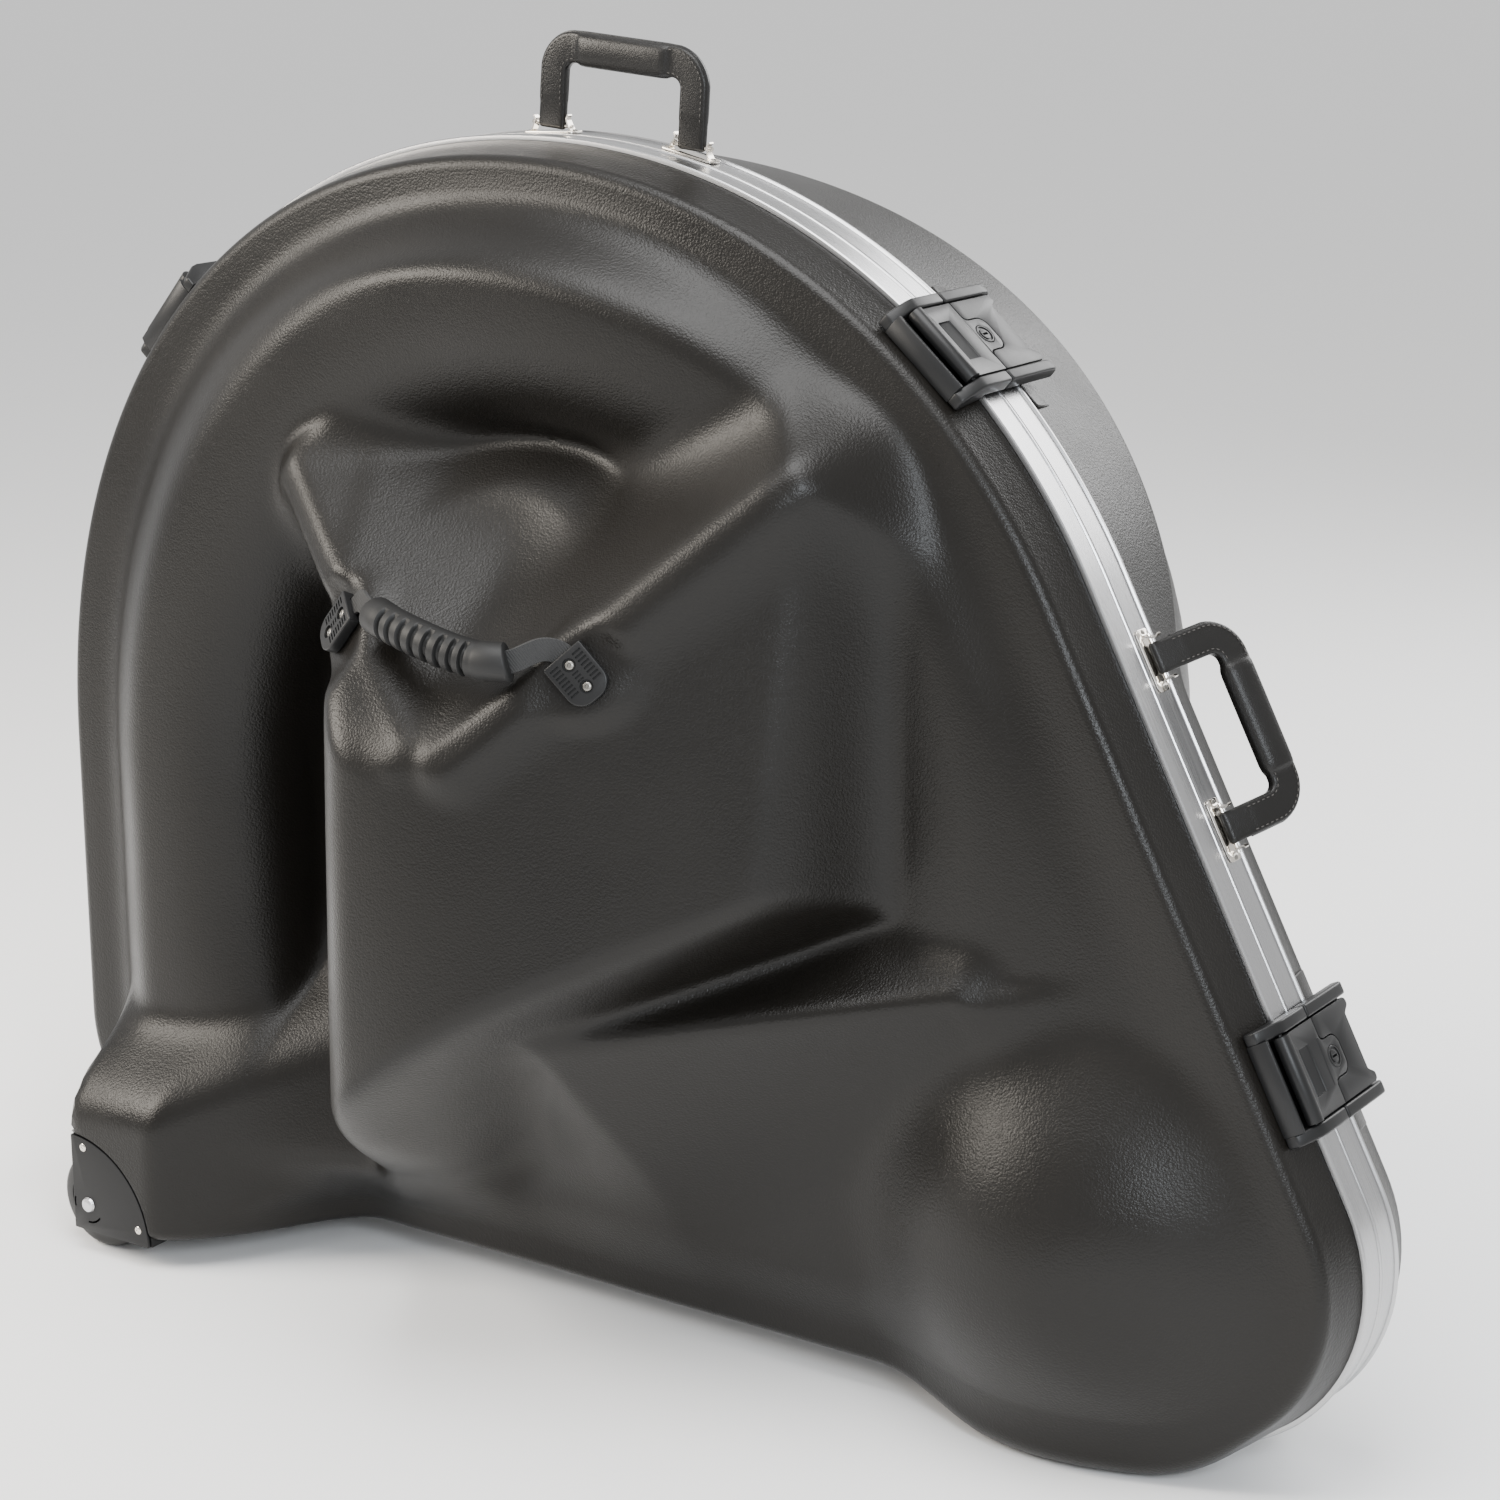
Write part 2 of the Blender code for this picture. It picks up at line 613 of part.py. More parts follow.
def build_shell(name, depth_at, sign, faces, surface):
    bm = bmesh.new()
    field, rim = shell_surface(bm, depth_at, sign)
    total = sum(1 for f in bm.faces if len(f.verts) == 3)
    walls = 2 * (len(bm.faces) - total)
    bm.verts.index_update()
    free = []
    for vert in field:
        flat_zone = any(
            math.hypot(vert.co.x - cap["at"][0], vert.co.z - cap["at"][1]) < CAP_SEAT_RADIUS + FIELD_GRID
            for cap in (LEFT_CAP, RIGHT_CAP)
        ) and sign < 0
        if vert not in rim and not flat_zone:
            free.append(vert.index)
    bmesh.ops.recalc_face_normals(bm, faces=bm.faces)
    middle = min(bm.faces, key=lambda f: f.calc_center_median().xz.length)
    if middle.normal.y * sign < 0:
        bmesh.ops.reverse_faces(bm, faces=bm.faces)
    mesh = bpy.data.meshes.new(name)
    bm.to_mesh(mesh)
    bm.free()
    mesh.materials.append(surface)
    shell = place(name, mesh)
    group = shell.vertex_groups.new(name="drawn form")
    group.add(free, 1.0, "REPLACE")
    thin = shell.modifiers.new("fewer facets", "DECIMATE")
    thin.ratio = (faces + walls) / (total + walls)
    thin.vertex_group = group.name
    wall = shell.modifiers.new("wall", "SOLIDIFY")
    wall.thickness = SHELL_WALL
    wall.offset = -1.0
    return shell


def wheel_well_cutter(sign):
    """Round cutter over the foot's lower corner, from beyond the foot to behind the housing."""
    bm = bmesh.new()
    turn = Matrix.Translation((WELL_CORNER[0], 0.0, WELL_CORNER[1])) @ Matrix.Rotation(-math.pi / 2, 4, "X")
    behind = sign * (HOUSING_FLOOR - HOUSING_WALL - FIT)
    beyond = sign * (FOOT_DEPTH + 0.05)
    rod(bm, WELL_RADIUS + FIT, min(behind, beyond), max(behind, beyond), 4 * QUARTER_STEPS, turn)
    return finish("well_cutter", bm, bpy.data.materials["moulded_black"])


# Valances

def valance_profile(sign):
    """Channel that takes the shell's edge, with a bead along its outer edge."""
    start = SEAM_GAP / 2
    inner = -(FIT + SHELL_WALL + FIT)
    web = SEAM_GAP + VALANCE_WALL
    wall = VALANCE_WALL * 0.75
    points = [
        (VALANCE_WALL, start + 0.0006), (VALANCE_WALL, VALANCE_WIDTH - BEAD_WIDTH),
        (VALANCE_WALL + BEAD_HEIGHT, VALANCE_WIDTH - 0.7 * BEAD_WIDTH),
        (VALANCE_WALL + BEAD_HEIGHT, VALANCE_WIDTH - 0.2 * BEAD_WIDTH), (VALANCE_WALL, VALANCE_WIDTH),
        (0.0, VALANCE_WIDTH), (0.0, web), (inner, web), (inner, CHANNEL_DEPTH),
        (inner - wall, CHANNEL_DEPTH), (inner - wall, start), (VALANCE_WALL - 0.0006, start),
    ]
    return [(u, sign * y) for u, y in points]


def sweep_round(bm, profile):
    """Sweeps a profile of outward and seam-normal distances round the outline."""
    sections = [
        [Vector((x + nx * u, y, z + nz * u)) for u, y in profile]
        for (x, z), (nx, nz) in outline_stations(False)
    ]
    loft(bm, sections, close_loop=True)


def build_valance(name, sign, surface):
    bm = bmesh.new()
    sweep_round(bm, valance_profile(sign))
    return finish(name, bm, surface, smooth=25.0)


def build_rim_pad(name, sign, surface):
    """Foam strip that lines the side wall, drawn in as the wall is."""
    outer = -(FIT + SHELL_WALL + FIT + 0.75 * VALANCE_WALL + FIT)
    drawn = outer - DRAFT * 0.65
    profile = [
        (outer, 0.001), (outer, CHANNEL_DEPTH), (drawn, RIM_PAD_REACH),
        (drawn - RIM_PAD_WALL, RIM_PAD_REACH), (outer - RIM_PAD_WALL, 0.001),
    ]
    bm = bmesh.new()
    sweep_round(bm, [(u, sign * y) for u, y in profile])
    return finish(name, bm, surface)


def build_cradle(name, centre, surface):
    """Foam block on the floor of the back half with a round notch for the tubing."""
    width, length, height = CRADLE_SIZE
    floor = BACK_CROWN_DEPTH - SHELL_WALL - FIT
    top = floor - height
    profile = [(-width / 2, floor), (-width / 2, top)]
    steps = 8
    for i in range(steps + 1):
        a = math.pi - math.pi * i / steps
        profile.append((CRADLE_NOTCH * math.cos(a), top + CRADLE_NOTCH * math.sin(a)))
    profile += [(width / 2, top), (width / 2, floor)]
    bm = bmesh.new()
    prism(bm, [(centre[0] + u, y) for u, y in profile], centre[1] - length / 2, centre[1] + length / 2, axis="Z")
    return finish(name, bm, surface)


# Hinge

def hinge_axis_z():
    return BASE_Z - VALANCE_WALL - FIT - LEAF_THICKNESS / 2 - (KNUCKLE_BORE + LEAF_THICKNESS / 2)


def build_hinge_leaf(name, sign, surface):
    """Flat leaf with every second knuckle rolled round the pin from tabs of its edge."""
    axis_z = hinge_axis_z()
    inner, outer = KNUCKLE_BORE, KNUCKLE_BORE + LEAF_THICKNESS
    edge_y = outer + 0.0006
    pitch = (HINGE_END_X - HINGE_START_X) / KNUCKLES
    own = 0 if sign < 0 else 1
    marks, tabs = [HINGE_START_X], []
    for i in range(KNUCKLES):
        low = HINGE_START_X + i * pitch + FIT
        high = HINGE_START_X + (i + 1) * pitch - FIT
        if i % 2 == own:
            tabs.append(len(marks) if low > HINGE_START_X + 2 * FIT else 0)
            if low > HINGE_START_X + 2 * FIT:
                marks.append(low)
            marks.append(high)
    if HINGE_END_X - marks[-1] > 2 * FIT:
        marks.append(HINGE_END_X)
    bm = bmesh.new()
    sections = []
    for x in marks:
        sections.append([
            Vector((x, sign * edge_y, axis_z + inner)), Vector((x, sign * edge_y, axis_z + outer)),
            Vector((x, sign * LEAF_WIDTH, axis_z + outer)), Vector((x, sign * LEAF_WIDTH, axis_z + inner)),
        ])
    rows = loft(bm, sections)
    for tab in tabs:
        low, high = rows[tab], rows[tab + 1]
        wanted = {low[0], low[1], high[0], high[1]}
        face = next(f for f in bm.faces if set(f.verts) == wanted)
        for step in range(KNUCKLE_STEPS + 1):
            angle = math.radians(290.0) * step / KNUCKLE_STEPS
            grown = bmesh.ops.extrude_face_region(bm, geom=[face])
            fresh = [v for v in grown["geom"] if isinstance(v, bmesh.types.BMVert)]
            lower = [v for v in fresh if v.co.x < (low[0].co.x + high[0].co.x) / 2]
            for v in fresh:
                side = lower if v in lower else [w for w in fresh if w not in lower]
                v.tag = v is max(side, key=lambda w: radial(w.co, axis_z))
            for v in fresh:
                r = outer if v.tag else inner
                v.co.y = -sign * r * math.sin(angle)
                v.co.z = axis_z + r * math.cos(angle)
            bmesh.ops.delete(bm, geom=[face], context="FACES_ONLY")
            face = next(f for f in grown["geom"] if isinstance(f, bmesh.types.BMFace))
    return finish(name, bm, surface)


def radial(point, axis_z):
    return math.hypot(point.y, point.z - axis_z)


def build_hinge_pin(name, surface):
    bm = bmesh.new()
    turn = Matrix.Translation((0.0, 0.0, hinge_axis_z())) @ Matrix.Rotation(math.pi / 2, 4, "Y")
    rod(bm, PIN_RADIUS, HINGE_START_X - 0.001, HINGE_END_X + 0.001, 10, turn)
    return finish(name, bm, surface)


# Frames on the outline

def seat_frame(place_on_outline):
    """Matrix at an outline point: X along the outline, Y across the seam, Z outwards."""
    (x, z), (nx, nz) = place_on_outline
    return Matrix(((nz, 0.0, nx, x), (0.0, 1.0, 0.0, 0.0), (-nx, 0.0, nz, z), (0.0, 0.0, 0.0, 1.0)))


# Latches

def guard_section(y, top, floor, base):
    """U section of a latch guard: a floor between two cheeks."""
    half = LATCH_WIDTH / 2
    inner = half - CHEEK
    return [
        Vector((-half, y, base)), Vector((half, y, base)), Vector((half, y, top)), Vector((inner, y, top)),
        Vector((inner, y, floor)), Vector((-inner, y, floor)), Vector((-inner, y, top)), Vector((-half, y, top)),
    ]


def wall_line(y):
    """Height just over the shell's drawn-in side wall at a distance from the seam."""
    share = max(0.0, (y - VALANCE_WIDTH) / (RIM_DEPTH - EDGE_RADIUS - VALANCE_WIDTH))
    return FIT - DRAFT * share


def build_front_guard(name, frame, surface):
    lip = GUARD_FRONT - 0.003
    low = GUARD_FLOOR - 0.0035
    step = VALANCE_WIDTH + 0.0008
    rows = [
        (-GUARD_FRONT, low + 0.0015, low + 0.0005, wall_line(GUARD_FRONT)),
        (-lip, low + 0.0060, low + 0.0005, wall_line(lip)),
        (-lip + 0.0004, low + 0.0065, low - 0.0015, wall_line(lip)),
        (-GUARD_SLOPE_START - 0.005, CHEEK_HEIGHT - 0.0025, low - 0.0015, wall_line(GUARD_SLOPE_START + 0.005)),
        (-GUARD_SLOPE_START, CHEEK_HEIGHT, low - 0.0010, wall_line(GUARD_SLOPE_START)),
        (-step, CHEEK_HEIGHT, low - 0.0010, wall_line(step)),
        (-step + 0.0006, CHEEK_HEIGHT, GUARD_FLOOR - 0.0006, GUARD_BASE),
        (-0.0006, CHEEK_HEIGHT, GUARD_FLOOR - 0.0006, GUARD_BASE),
    ]
    bm = bmesh.new()
    loft(bm, [guard_section(*row) for row in rows])
    guard = finish(name, bm, surface, frame)
    cutter = bmesh.new()
    turn = Matrix.Translation((0.0, BARREL_Y, BARREL_Z)) @ Matrix.Rotation(math.pi / 2, 4, "Y")
    rod(cutter, LEVER_PIN_RADIUS + FIT, -LATCH_WIDTH, LATCH_WIDTH, 12, turn)
    return carve(guard, [finish("pin_hole", cutter, surface, frame)])


def build_back_guard(name, frame, surface):
    rows = [
        (0.0006, CHEEK_HEIGHT, GUARD_FLOOR - 0.0006, GUARD_BASE),
        (GUARD_BACK - 0.006, CHEEK_HEIGHT, GUARD_FLOOR - 0.0006, GUARD_BASE),
        (GUARD_BACK, CHEEK_HEIGHT - 0.0035, GUARD_FLOOR - 0.0006, GUARD_BASE),
    ]
    bm = bmesh.new()
    loft(bm, [guard_section(*row) for row in rows])
    return finish(name, bm, surface, frame)


def lever_profile():
    """Side view of the lever: a flat blade that rolls over the pivot pin at its front end."""
    points = [(LEVER_END, LEVER_UNDERSIDE), (LEVER_END, LEVER_TOP)]
    start = math.asin((LEVER_TOP - BARREL_Z) / BARREL_RADIUS)
    end = math.pi + math.asin((BARREL_Z - LEVER_UNDERSIDE) / BARREL_RADIUS)
    steps = 8
    for i in range(steps + 1):
        a = start + (end - start) * i / steps
        points.append((BARREL_Y + BARREL_RADIUS * math.cos(a), BARREL_Z + BARREL_RADIUS * math.sin(a)))
    return points


def build_lever(name, frame, surface):
    bm = bmesh.new()
    prism(bm, lever_profile(), -LEVER_WIDTH / 2, LEVER_WIDTH / 2)
    lever = finish(name, bm, surface, frame)
    boss = bmesh.new()
    rod(boss, BOSS_RADIUS, LEVER_UNDERSIDE, LEVER_TOP, 24, Matrix.Translation((0.0, LOCK_Y, 0.0)))
    carve(lever, [finish("boss", boss, surface, frame)], "UNION")
    pin = bmesh.new()
    turn = Matrix.Translation((0.0, BARREL_Y, BARREL_Z)) @ Matrix.Rotation(math.pi / 2, 4, "Y")
    rod(pin, LEVER_PIN_RADIUS + FIT, -LEVER_WIDTH, LEVER_WIDTH, 12, turn)
    window = bmesh.new()
    prism(window, [(-0.026, LEVER_TOP - 0.003), (-0.014, LEVER_TOP - 0.003), (-0.012, LEVER_TOP + 0.002),
                   (-0.027, LEVER_TOP + 0.002)], -0.016, 0.016)
    bore = bmesh.new()
    rod(bore, LOCK_RADIUS + FIT, LEVER_UNDERSIDE + 0.0012, LEVER_TOP + 0.002, 24,
        Matrix.Translation((0.0, LOCK_Y, 0.0)))
    return carve(lever, [finish("pin_hole", pin, surface, frame), finish("window", window, surface, frame),
                         finish("lock_bore", bore, surface, frame)])


def build_trigger(name, frame, surface):
    """Tail tab of the lever, notched for the finger and cut out round the lock boss."""
    half = LEVER_WIDTH / 2
    start = LEVER_END + FIT
    cut = BOSS_RADIUS + 2 * FIT
    reach = start - LOCK_Y
    corner = math.asin(reach / cut)
    points = [(half, start), (half, TRIGGER_END)]
    notch_y = TRIGGER_END + NOTCH_RADIUS - 0.009
    spread = math.asin(math.sqrt(NOTCH_RADIUS ** 2 - (NOTCH_RADIUS - 0.009) ** 2) / NOTCH_RADIUS)
    for i in range(9):
        a = -math.pi / 2 + spread - 2.0 * spread * i / 8
        points.append((NOTCH_RADIUS * math.cos(a), notch_y + NOTCH_RADIUS * math.sin(a)))
    points += [(-half, TRIGGER_END), (-half, start)]
    for i in range(13):
        a = math.pi - corner - (math.pi - 2.0 * corner) * i / 12
        points.append((cut * math.cos(a), LOCK_Y + cut * math.sin(a)))
    bm = bmesh.new()
    prism(bm, points, LEVER_UNDERSIDE, LEVER_TOP, axis="Z")
    for v in bm.verts:
        if v.co.z > LEVER_TOP - 1e-6 and v.co.y > 0.030:
            v.co.z += 0.10 * (v.co.y - 0.030)
        v.co.y -= start
        v.co.z -= LEVER_TOP
    pivot = frame @ Matrix.Translation((0.0, start, LEVER_TOP))
    return finish(name, bm, surface, pivot)


def build_key_lock(name, frame, surface):
    bm = bmesh.new()
    height = LEVER_TOP + 0.0006
    rod(bm, LOCK_RADIUS, LEVER_UNDERSIDE + 0.0015, height, 20)
    pivot = frame @ Matrix.Translation((0.0, LOCK_Y, 0.0))
    lock = finish(name, bm, surface, pivot)
    slot = bmesh.new()
    bmesh.ops.create_cube(slot, size=1.0, matrix=Matrix.Translation((0.0, 0.0, height)) @ Matrix.Diagonal(
        (0.0018, 0.0080, 0.0040, 1.0)))
    return carve(lock, [finish("key_slot", slot, surface, pivot)])


def build_latch(prefix, spot, black, steel):
    frame = seat_frame(spot)
    build_front_guard(prefix + "_front_guard", frame, black)
    build_back_guard(prefix + "_back_guard", frame, black)
    build_lever(prefix + "_lever", frame, black)
    build_trigger(prefix + "_trigger", frame, black)
    build_key_lock(prefix + "_key_lock", frame, steel)
    bm = bmesh.new()
    rod(bm, LEVER_PIN_RADIUS, -LATCH_WIDTH / 2 + 0.0005, LATCH_WIDTH / 2 - 0.0005, 10,
        Matrix.Rotation(math.pi / 2, 4, "Y"))
    finish(prefix + "_pin", bm, steel, frame @ Matrix.Translation((0.0, BARREL_Y, BARREL_Z)))


# Carry handles

def handle_stations():
    """Path of the handle from one foot over the grip to the other: place, direction, width, thickness."""
    half = HANDLE_SPAN / 2
    rows = [
        (-half, -0.0030, 90.0, STRAP_WIDTH, 0.0028), (-half, -0.0018, 90.0, STRAP_WIDTH, 0.0056),
        (-half, 0.0, 90.0, STRAP_WIDTH, STRAP_END_THICKNESS),
        (-half, 0.0150, 90.0, STRAP_WIDTH, STRAP_END_THICKNESS), (-half, 0.0190, 90.0, STRAP_WIDTH, STRAP_THICKNESS),
    ]
    bend = HANDLE_CORNER
    for i in range(5):
        a = math.radians(90.0) * i / 4
        rows.append((-half + bend - bend * math.cos(a), HANDLE_REACH - bend + bend * math.sin(a),
                     90.0 - 90.0 * i / 4, STRAP_WIDTH, STRAP_THICKNESS))
    rows.append((-GRIP_HALF_LENGTH, HANDLE_REACH, 0.0, STRAP_WIDTH, STRAP_THICKNESS + 0.001))
    rows.append((-GRIP_HALF_LENGTH + 0.003, HANDLE_REACH, 0.0, STRAP_WIDTH + 0.001, GRIP_THICKNESS))
    mirrored = [(-x, z, -angle, w, t) for x, z, angle, w, t in reversed(rows)]
    return rows + mirrored


def build_handle(name, pivot, surface):
    sections = []
    for x, z, angle, width, thickness in handle_stations():
        a = math.radians(angle)
        across = Vector((-math.sin(a), 0.0, math.cos(a)))
        w, t = width / 2, thickness / 2
        ring = []
        for u, v in ((w, t * 0.45), (w * 0.80, t), (-w * 0.80, t), (-w, t * 0.45),
                     (-w, -t * 0.45), (-w * 0.80, -t), (w * 0.80, -t), (w, -t * 0.45)):
            ring.append(Vector((x, v, z)) + across * u)
        sections.append(ring)
    bm = bmesh.new()
    loft(bm, sections)
    handle = finish(name, bm, surface, pivot)
    cutters = []
    for side in (-1.0, 1.0):
        hole = bmesh.new()
        turn = Matrix.Translation((side * HANDLE_SPAN / 2, 0.0, 0.0)) @ Matrix.Rotation(math.pi / 2, 4, "Y")
        rod(hole, HANDLE_PIN_RADIUS + FIT, -STRAP_WIDTH, STRAP_WIDTH, 10, turn)
        cutters.append(finish("strap_hole", hole, surface, pivot))
    return carve(handle, cutters)


def tongue_profile(height):
    """Curled tongue in side view: two feet on the plate that close round the handle pin."""
    steps = 10
    outer, inner = [], []
    start, end = math.radians(-52.0), math.radians(232.0)
    for i in range(steps + 1):
        a = start + (end - start) * i / steps
        outer.append((TONGUE_OUTER * math.cos(a), height + TONGUE_OUTER * math.sin(a)))
        inner.append((TONGUE_INNER * math.cos(a), height + TONGUE_INNER * math.sin(a)))
    right = [(inner[0][0], -0.0002), (outer[0][0] + 0.0006, -0.0002)]
    left = [(outer[-1][0] - 0.0006, -0.0002), (inner[-1][0], -0.0002)]
    return right + outer + left + list(reversed(inner))


def build_bracket(name, centre, surface, handle_frame, rise):
    """Plate on the valance with two curled tongues, each as high as the pin lies over the plate."""
    at, normal = centre
    frame = seat_frame(centre) @ Matrix.Translation((0.0, PIVOT_Y, VALANCE_WALL + FIT))
    bm = bmesh.new()
    half, wide = BRACKET_LENGTH / 2, BRACKET_WIDTH / 2
    chamfer = 0.004
    outline = [(-half, -wide + chamfer), (-half + chamfer, -wide), (half - chamfer, -wide), (half, -wide + chamfer),
               (half, wide - chamfer), (half - chamfer, wide), (-half + chamfer, wide), (-half, wide - chamfer)]
    prism(bm, outline, 0.0, BRACKET_THICKNESS, axis="Z")
    bracket = finish(name, bm, surface, frame)
    to_local = frame.inverted() @ handle_frame
    along_pin = (to_local.to_3x3() @ Vector((1.0, 0.0, 0.0))).normalized()
    start = to_local @ Vector((0.0, 0.0, rise))
    tongues = []
    for side in (-1.0, 1.0):
        x = side * TONGUE_OFFSET
        reach = (x - start.x) / along_pin.x
        height = (start + along_pin * reach).z - BRACKET_THICKNESS
        tongue = bmesh.new()
        prism(tongue, tongue_profile(height), x - TONGUE_WIDTH / 2, x + TONGUE_WIDTH / 2)
        shifted = frame @ Matrix.Translation((0.0, 0.0, BRACKET_THICKNESS))
        tongues.append(finish("tongue", tongue, surface, shifted))
    return carve(bracket, tongues, "UNION")


def build_carry_handle(prefix, centre, bracket_centres, rise, fold, leatherette, nickel):
    frame = seat_frame(centre) @ Matrix.Translation((0.0, PIVOT_Y, 0.0))
    pivot = frame @ Matrix.Translation((0.0, 0.0, rise)) @ Matrix.Rotation(-fold, 4, "X")
    build_handle(prefix + "_handle", pivot, leatherette)
    for letter, side, spot in zip("ab", (-1.0, 1.0), bracket_centres):
        build_bracket(f"{prefix}_bracket_{letter}", spot, nickel, frame, rise)
        bm = bmesh.new()
        rod(bm, HANDLE_PIN_RADIUS, -0.0175, 0.0175, 10, Matrix.Rotation(math.pi / 2, 4, "Y"))
        at = frame @ Matrix.Translation((side * HANDLE_SPAN / 2, 0.0, rise))
        finish(f"{prefix}_handle_pin_{letter}", bm, nickel, at)


# Flex handle

def cap_frame(cap, ridge_start, ridge_end):
    """Matrix on a cap's seat: Z out of the shell, X across the ridge and away from the grip."""
    out = Vector((-cap["slope"][0], -1.0, -cap["slope"][1])).normalized()
    ridge = Vector((ridge_end[0] - ridge_start[0], 0.0, ridge_end[1] - ridge_start[1]))
    ridge = (ridge - out * ridge.dot(out)).normalized()
    away = ridge.cross(out)
    away *= -math.copysign(1.0, away.z)
    at = Vector((cap["at"][0], -cap["depth"], cap["at"][1])) + out * CAP_SEAT_GAP
    frame = Matrix((away, out.cross(away), out)).transposed().to_4x4()
    frame.translation = at
    return frame


def build_flex_cap(name, frame, surface):
    """Plate with one square end, one round end and a slot below for the webbing."""
    half, wide, round_end = CAP_LENGTH / 2, CAP_WIDTH / 2, 0.012
    outline = [(-half, wide), (-half, -wide)]
    for centre_v, first in ((-wide + round_end, -90.0), (wide - round_end, 0.0)):
        for i in range(5):
            a = math.radians(first + 22.5 * i)
            outline.append((half - round_end + round_end * math.cos(a), centre_v + round_end * math.sin(a)))
    bm = bmesh.new()
    loft(bm, [
        [Vector((u, v, 0.0)) for u, v in outline],
        [Vector((u, v, CAP_THICKNESS - 0.0015)) for u, v in outline],
        [Vector((u * 0.93, v * 0.92, CAP_THICKNESS)) for u, v in outline],
    ])
    cap = finish(name, bm, surface, frame)
    slot = bmesh.new()
    wide = WEBBING_WIDTH / 2 + 2 * FIT
    prism(slot, [(-wide, -0.002), (wide, -0.002), (wide, CAP_SLOT_HEIGHT), (-wide, CAP_SLOT_HEIGHT)],
          -CAP_LENGTH, -CAP_LENGTH / 2 + CAP_SLOT_LENGTH)
    return carve(cap, [finish("webbing_slot", slot, surface, frame)])


def curve_point(points, t):
    """Point on a smooth curve through the given points, with t from 0 to 1."""
    count = len(points) - 1
    s = min(max(t, 0.0), 1.0) * count
    i = min(int(s), count - 1)
    f = s - i
    p0 = points[max(i - 1, 0)]
    p1, p2 = points[i], points[i + 1]
    p3 = points[min(i + 2, count)]
    return 0.5 * ((2 * p1) + (p2 - p0) * f + (2 * p0 - 5 * p1 + 4 * p2 - p3) * f ** 2
                  + (3 * p1 - p0 - 3 * p2 + p3) * f ** 3)


def grip_radii():
    """Rows along the grip: place on the webbing's path and radius, collars at both ends, ribs between."""
    span = GRIP_END - GRIP_START
    rows = [(0.0, GRIP_RADIUS - 0.0015), (0.02, GRIP_RADIUS), (0.13, GRIP_RADIUS)]
    first, last = 0.15, 0.76
    pitch = (last - first) / GRIP_RIBS
    for i in range(GRIP_RIBS):
        start = first + i * pitch
        rows.append((start + 0.12 * pitch, GRIP_RADIUS - GRIP_GROOVE))
        rows.append((start + 0.34 * pitch, GRIP_RADIUS - GRIP_GROOVE))
        rows.append((start + 0.50 * pitch, GRIP_RADIUS))
        rows.append((start + 0.96 * pitch, GRIP_RADIUS))
    rows += [(0.79, GRIP_RADIUS + 0.0004), (0.98, GRIP_RADIUS + 0.0004), (1.0, GRIP_RADIUS - 0.0010)]
    return [(GRIP_START + span * t, radius) for t, radius in rows]


def webbing_path(left_frame, right_frame):
    """Path of the webbing from the slot of one cap over the bow of the grip to the other's slot."""
    lift = CAP_SLOT_HEIGHT / 2
    points = []
    bow = [Vector((-0.108, -0.232, 0.5602)), Vector((-0.062, -0.249, 0.5560)), Vector((-0.020, -0.252, 0.5495)),
           Vector((0.010, -0.2475, 0.5485))]
    for frame, goal in ((left_frame, bow[0]), (right_frame, bow[-1])):
        end = frame @ Vector((-CAP_LENGTH / 2 + CAP_SLOT_LENGTH - 0.002, 0.0, lift))
        mouth = frame @ Vector((-CAP_LENGTH / 2 - 0.002, 0.0, lift))
        turn = frame @ Vector((-CAP_LENGTH / 2 - 0.007, 0.0, lift + 0.0015))
        lead = turn + (goal - mouth).normalized() * 0.010
        points.append((end, mouth, lead))
    (left_end, left_mouth, left_lead), (right_end, right_mouth, right_lead) = points
    return [left_end, left_mouth, left_lead] + bow + [right_lead, right_mouth, right_end]


def path_frame(points, t, left_frame, right_frame):
    """Place on the path with the webbing's width direction and its normal."""
    here = curve_point(points, t)
    ahead = (curve_point(points, min(t + 0.01, 1.0)) - curve_point(points, max(t - 0.01, 0.0))).normalized()
    left_wide = left_frame.to_3x3() @ Vector((0.0, 1.0, 0.0))
    right_wide = right_frame.to_3x3() @ Vector((0.0, 1.0, 0.0))
    left_wide *= math.copysign(1.0, left_wide.z)
    right_wide *= math.copysign(1.0, right_wide.z)
    if t < 0.5:
        wide = left_wide.lerp(Vector((0.0, 0.0, 1.0)), float(ramp(t, 0.18, 0.30)))
    else:
        wide = right_wide.lerp(Vector((0.0, 0.0, 1.0)), 1.0 - float(ramp(t, 0.70, 0.82)))
    wide = (wide - ahead * wide.dot(ahead)).normalized()
    return here, wide, ahead.cross(wide)


def webbing_sections(left_frame, right_frame, clearance):
    points = webbing_path(left_frame, right_frame)
    sections = []
    for i in range(37):
        here, wide, thick = path_frame(points, i / 36, left_frame, right_frame)
        w, t = WEBBING_WIDTH / 2 + clearance, WEBBING_THICKNESS / 2 + clearance
        sections.append([here + wide * u + thick * v for u, v in ((w, t), (-w, t), (-w, -t), (w, -t))])
    return sections


def build_flex_grip(name, left_frame, right_frame, surface):
    """Ribbed rubber grip that bows between the caps, bored for the webbing."""
    points = webbing_path(left_frame, right_frame)
    sections = []
    for t, radius in grip_radii():
        here, wide, thick = path_frame(points, t, left_frame, right_frame)
        sections.append([here + (thick * math.cos(a) + wide * math.sin(a)) * radius
                         for a in (0.2 * math.pi * i for i in range(10))])
    bm = bmesh.new()
    loft(bm, sections)
    grip = finish(name, bm, surface)
    bore = bmesh.new()
    loft(bore, webbing_sections(left_frame, right_frame, 2 * FIT))
    return carve(grip, [finish("grip_bore", bore, surface)])


def build_webbing(name, left_frame, right_frame, surface):
    bm = bmesh.new()
    loft(bm, webbing_sections(left_frame, right_frame, 0.0))
    return finish(name, bm, surface)


# Wheels

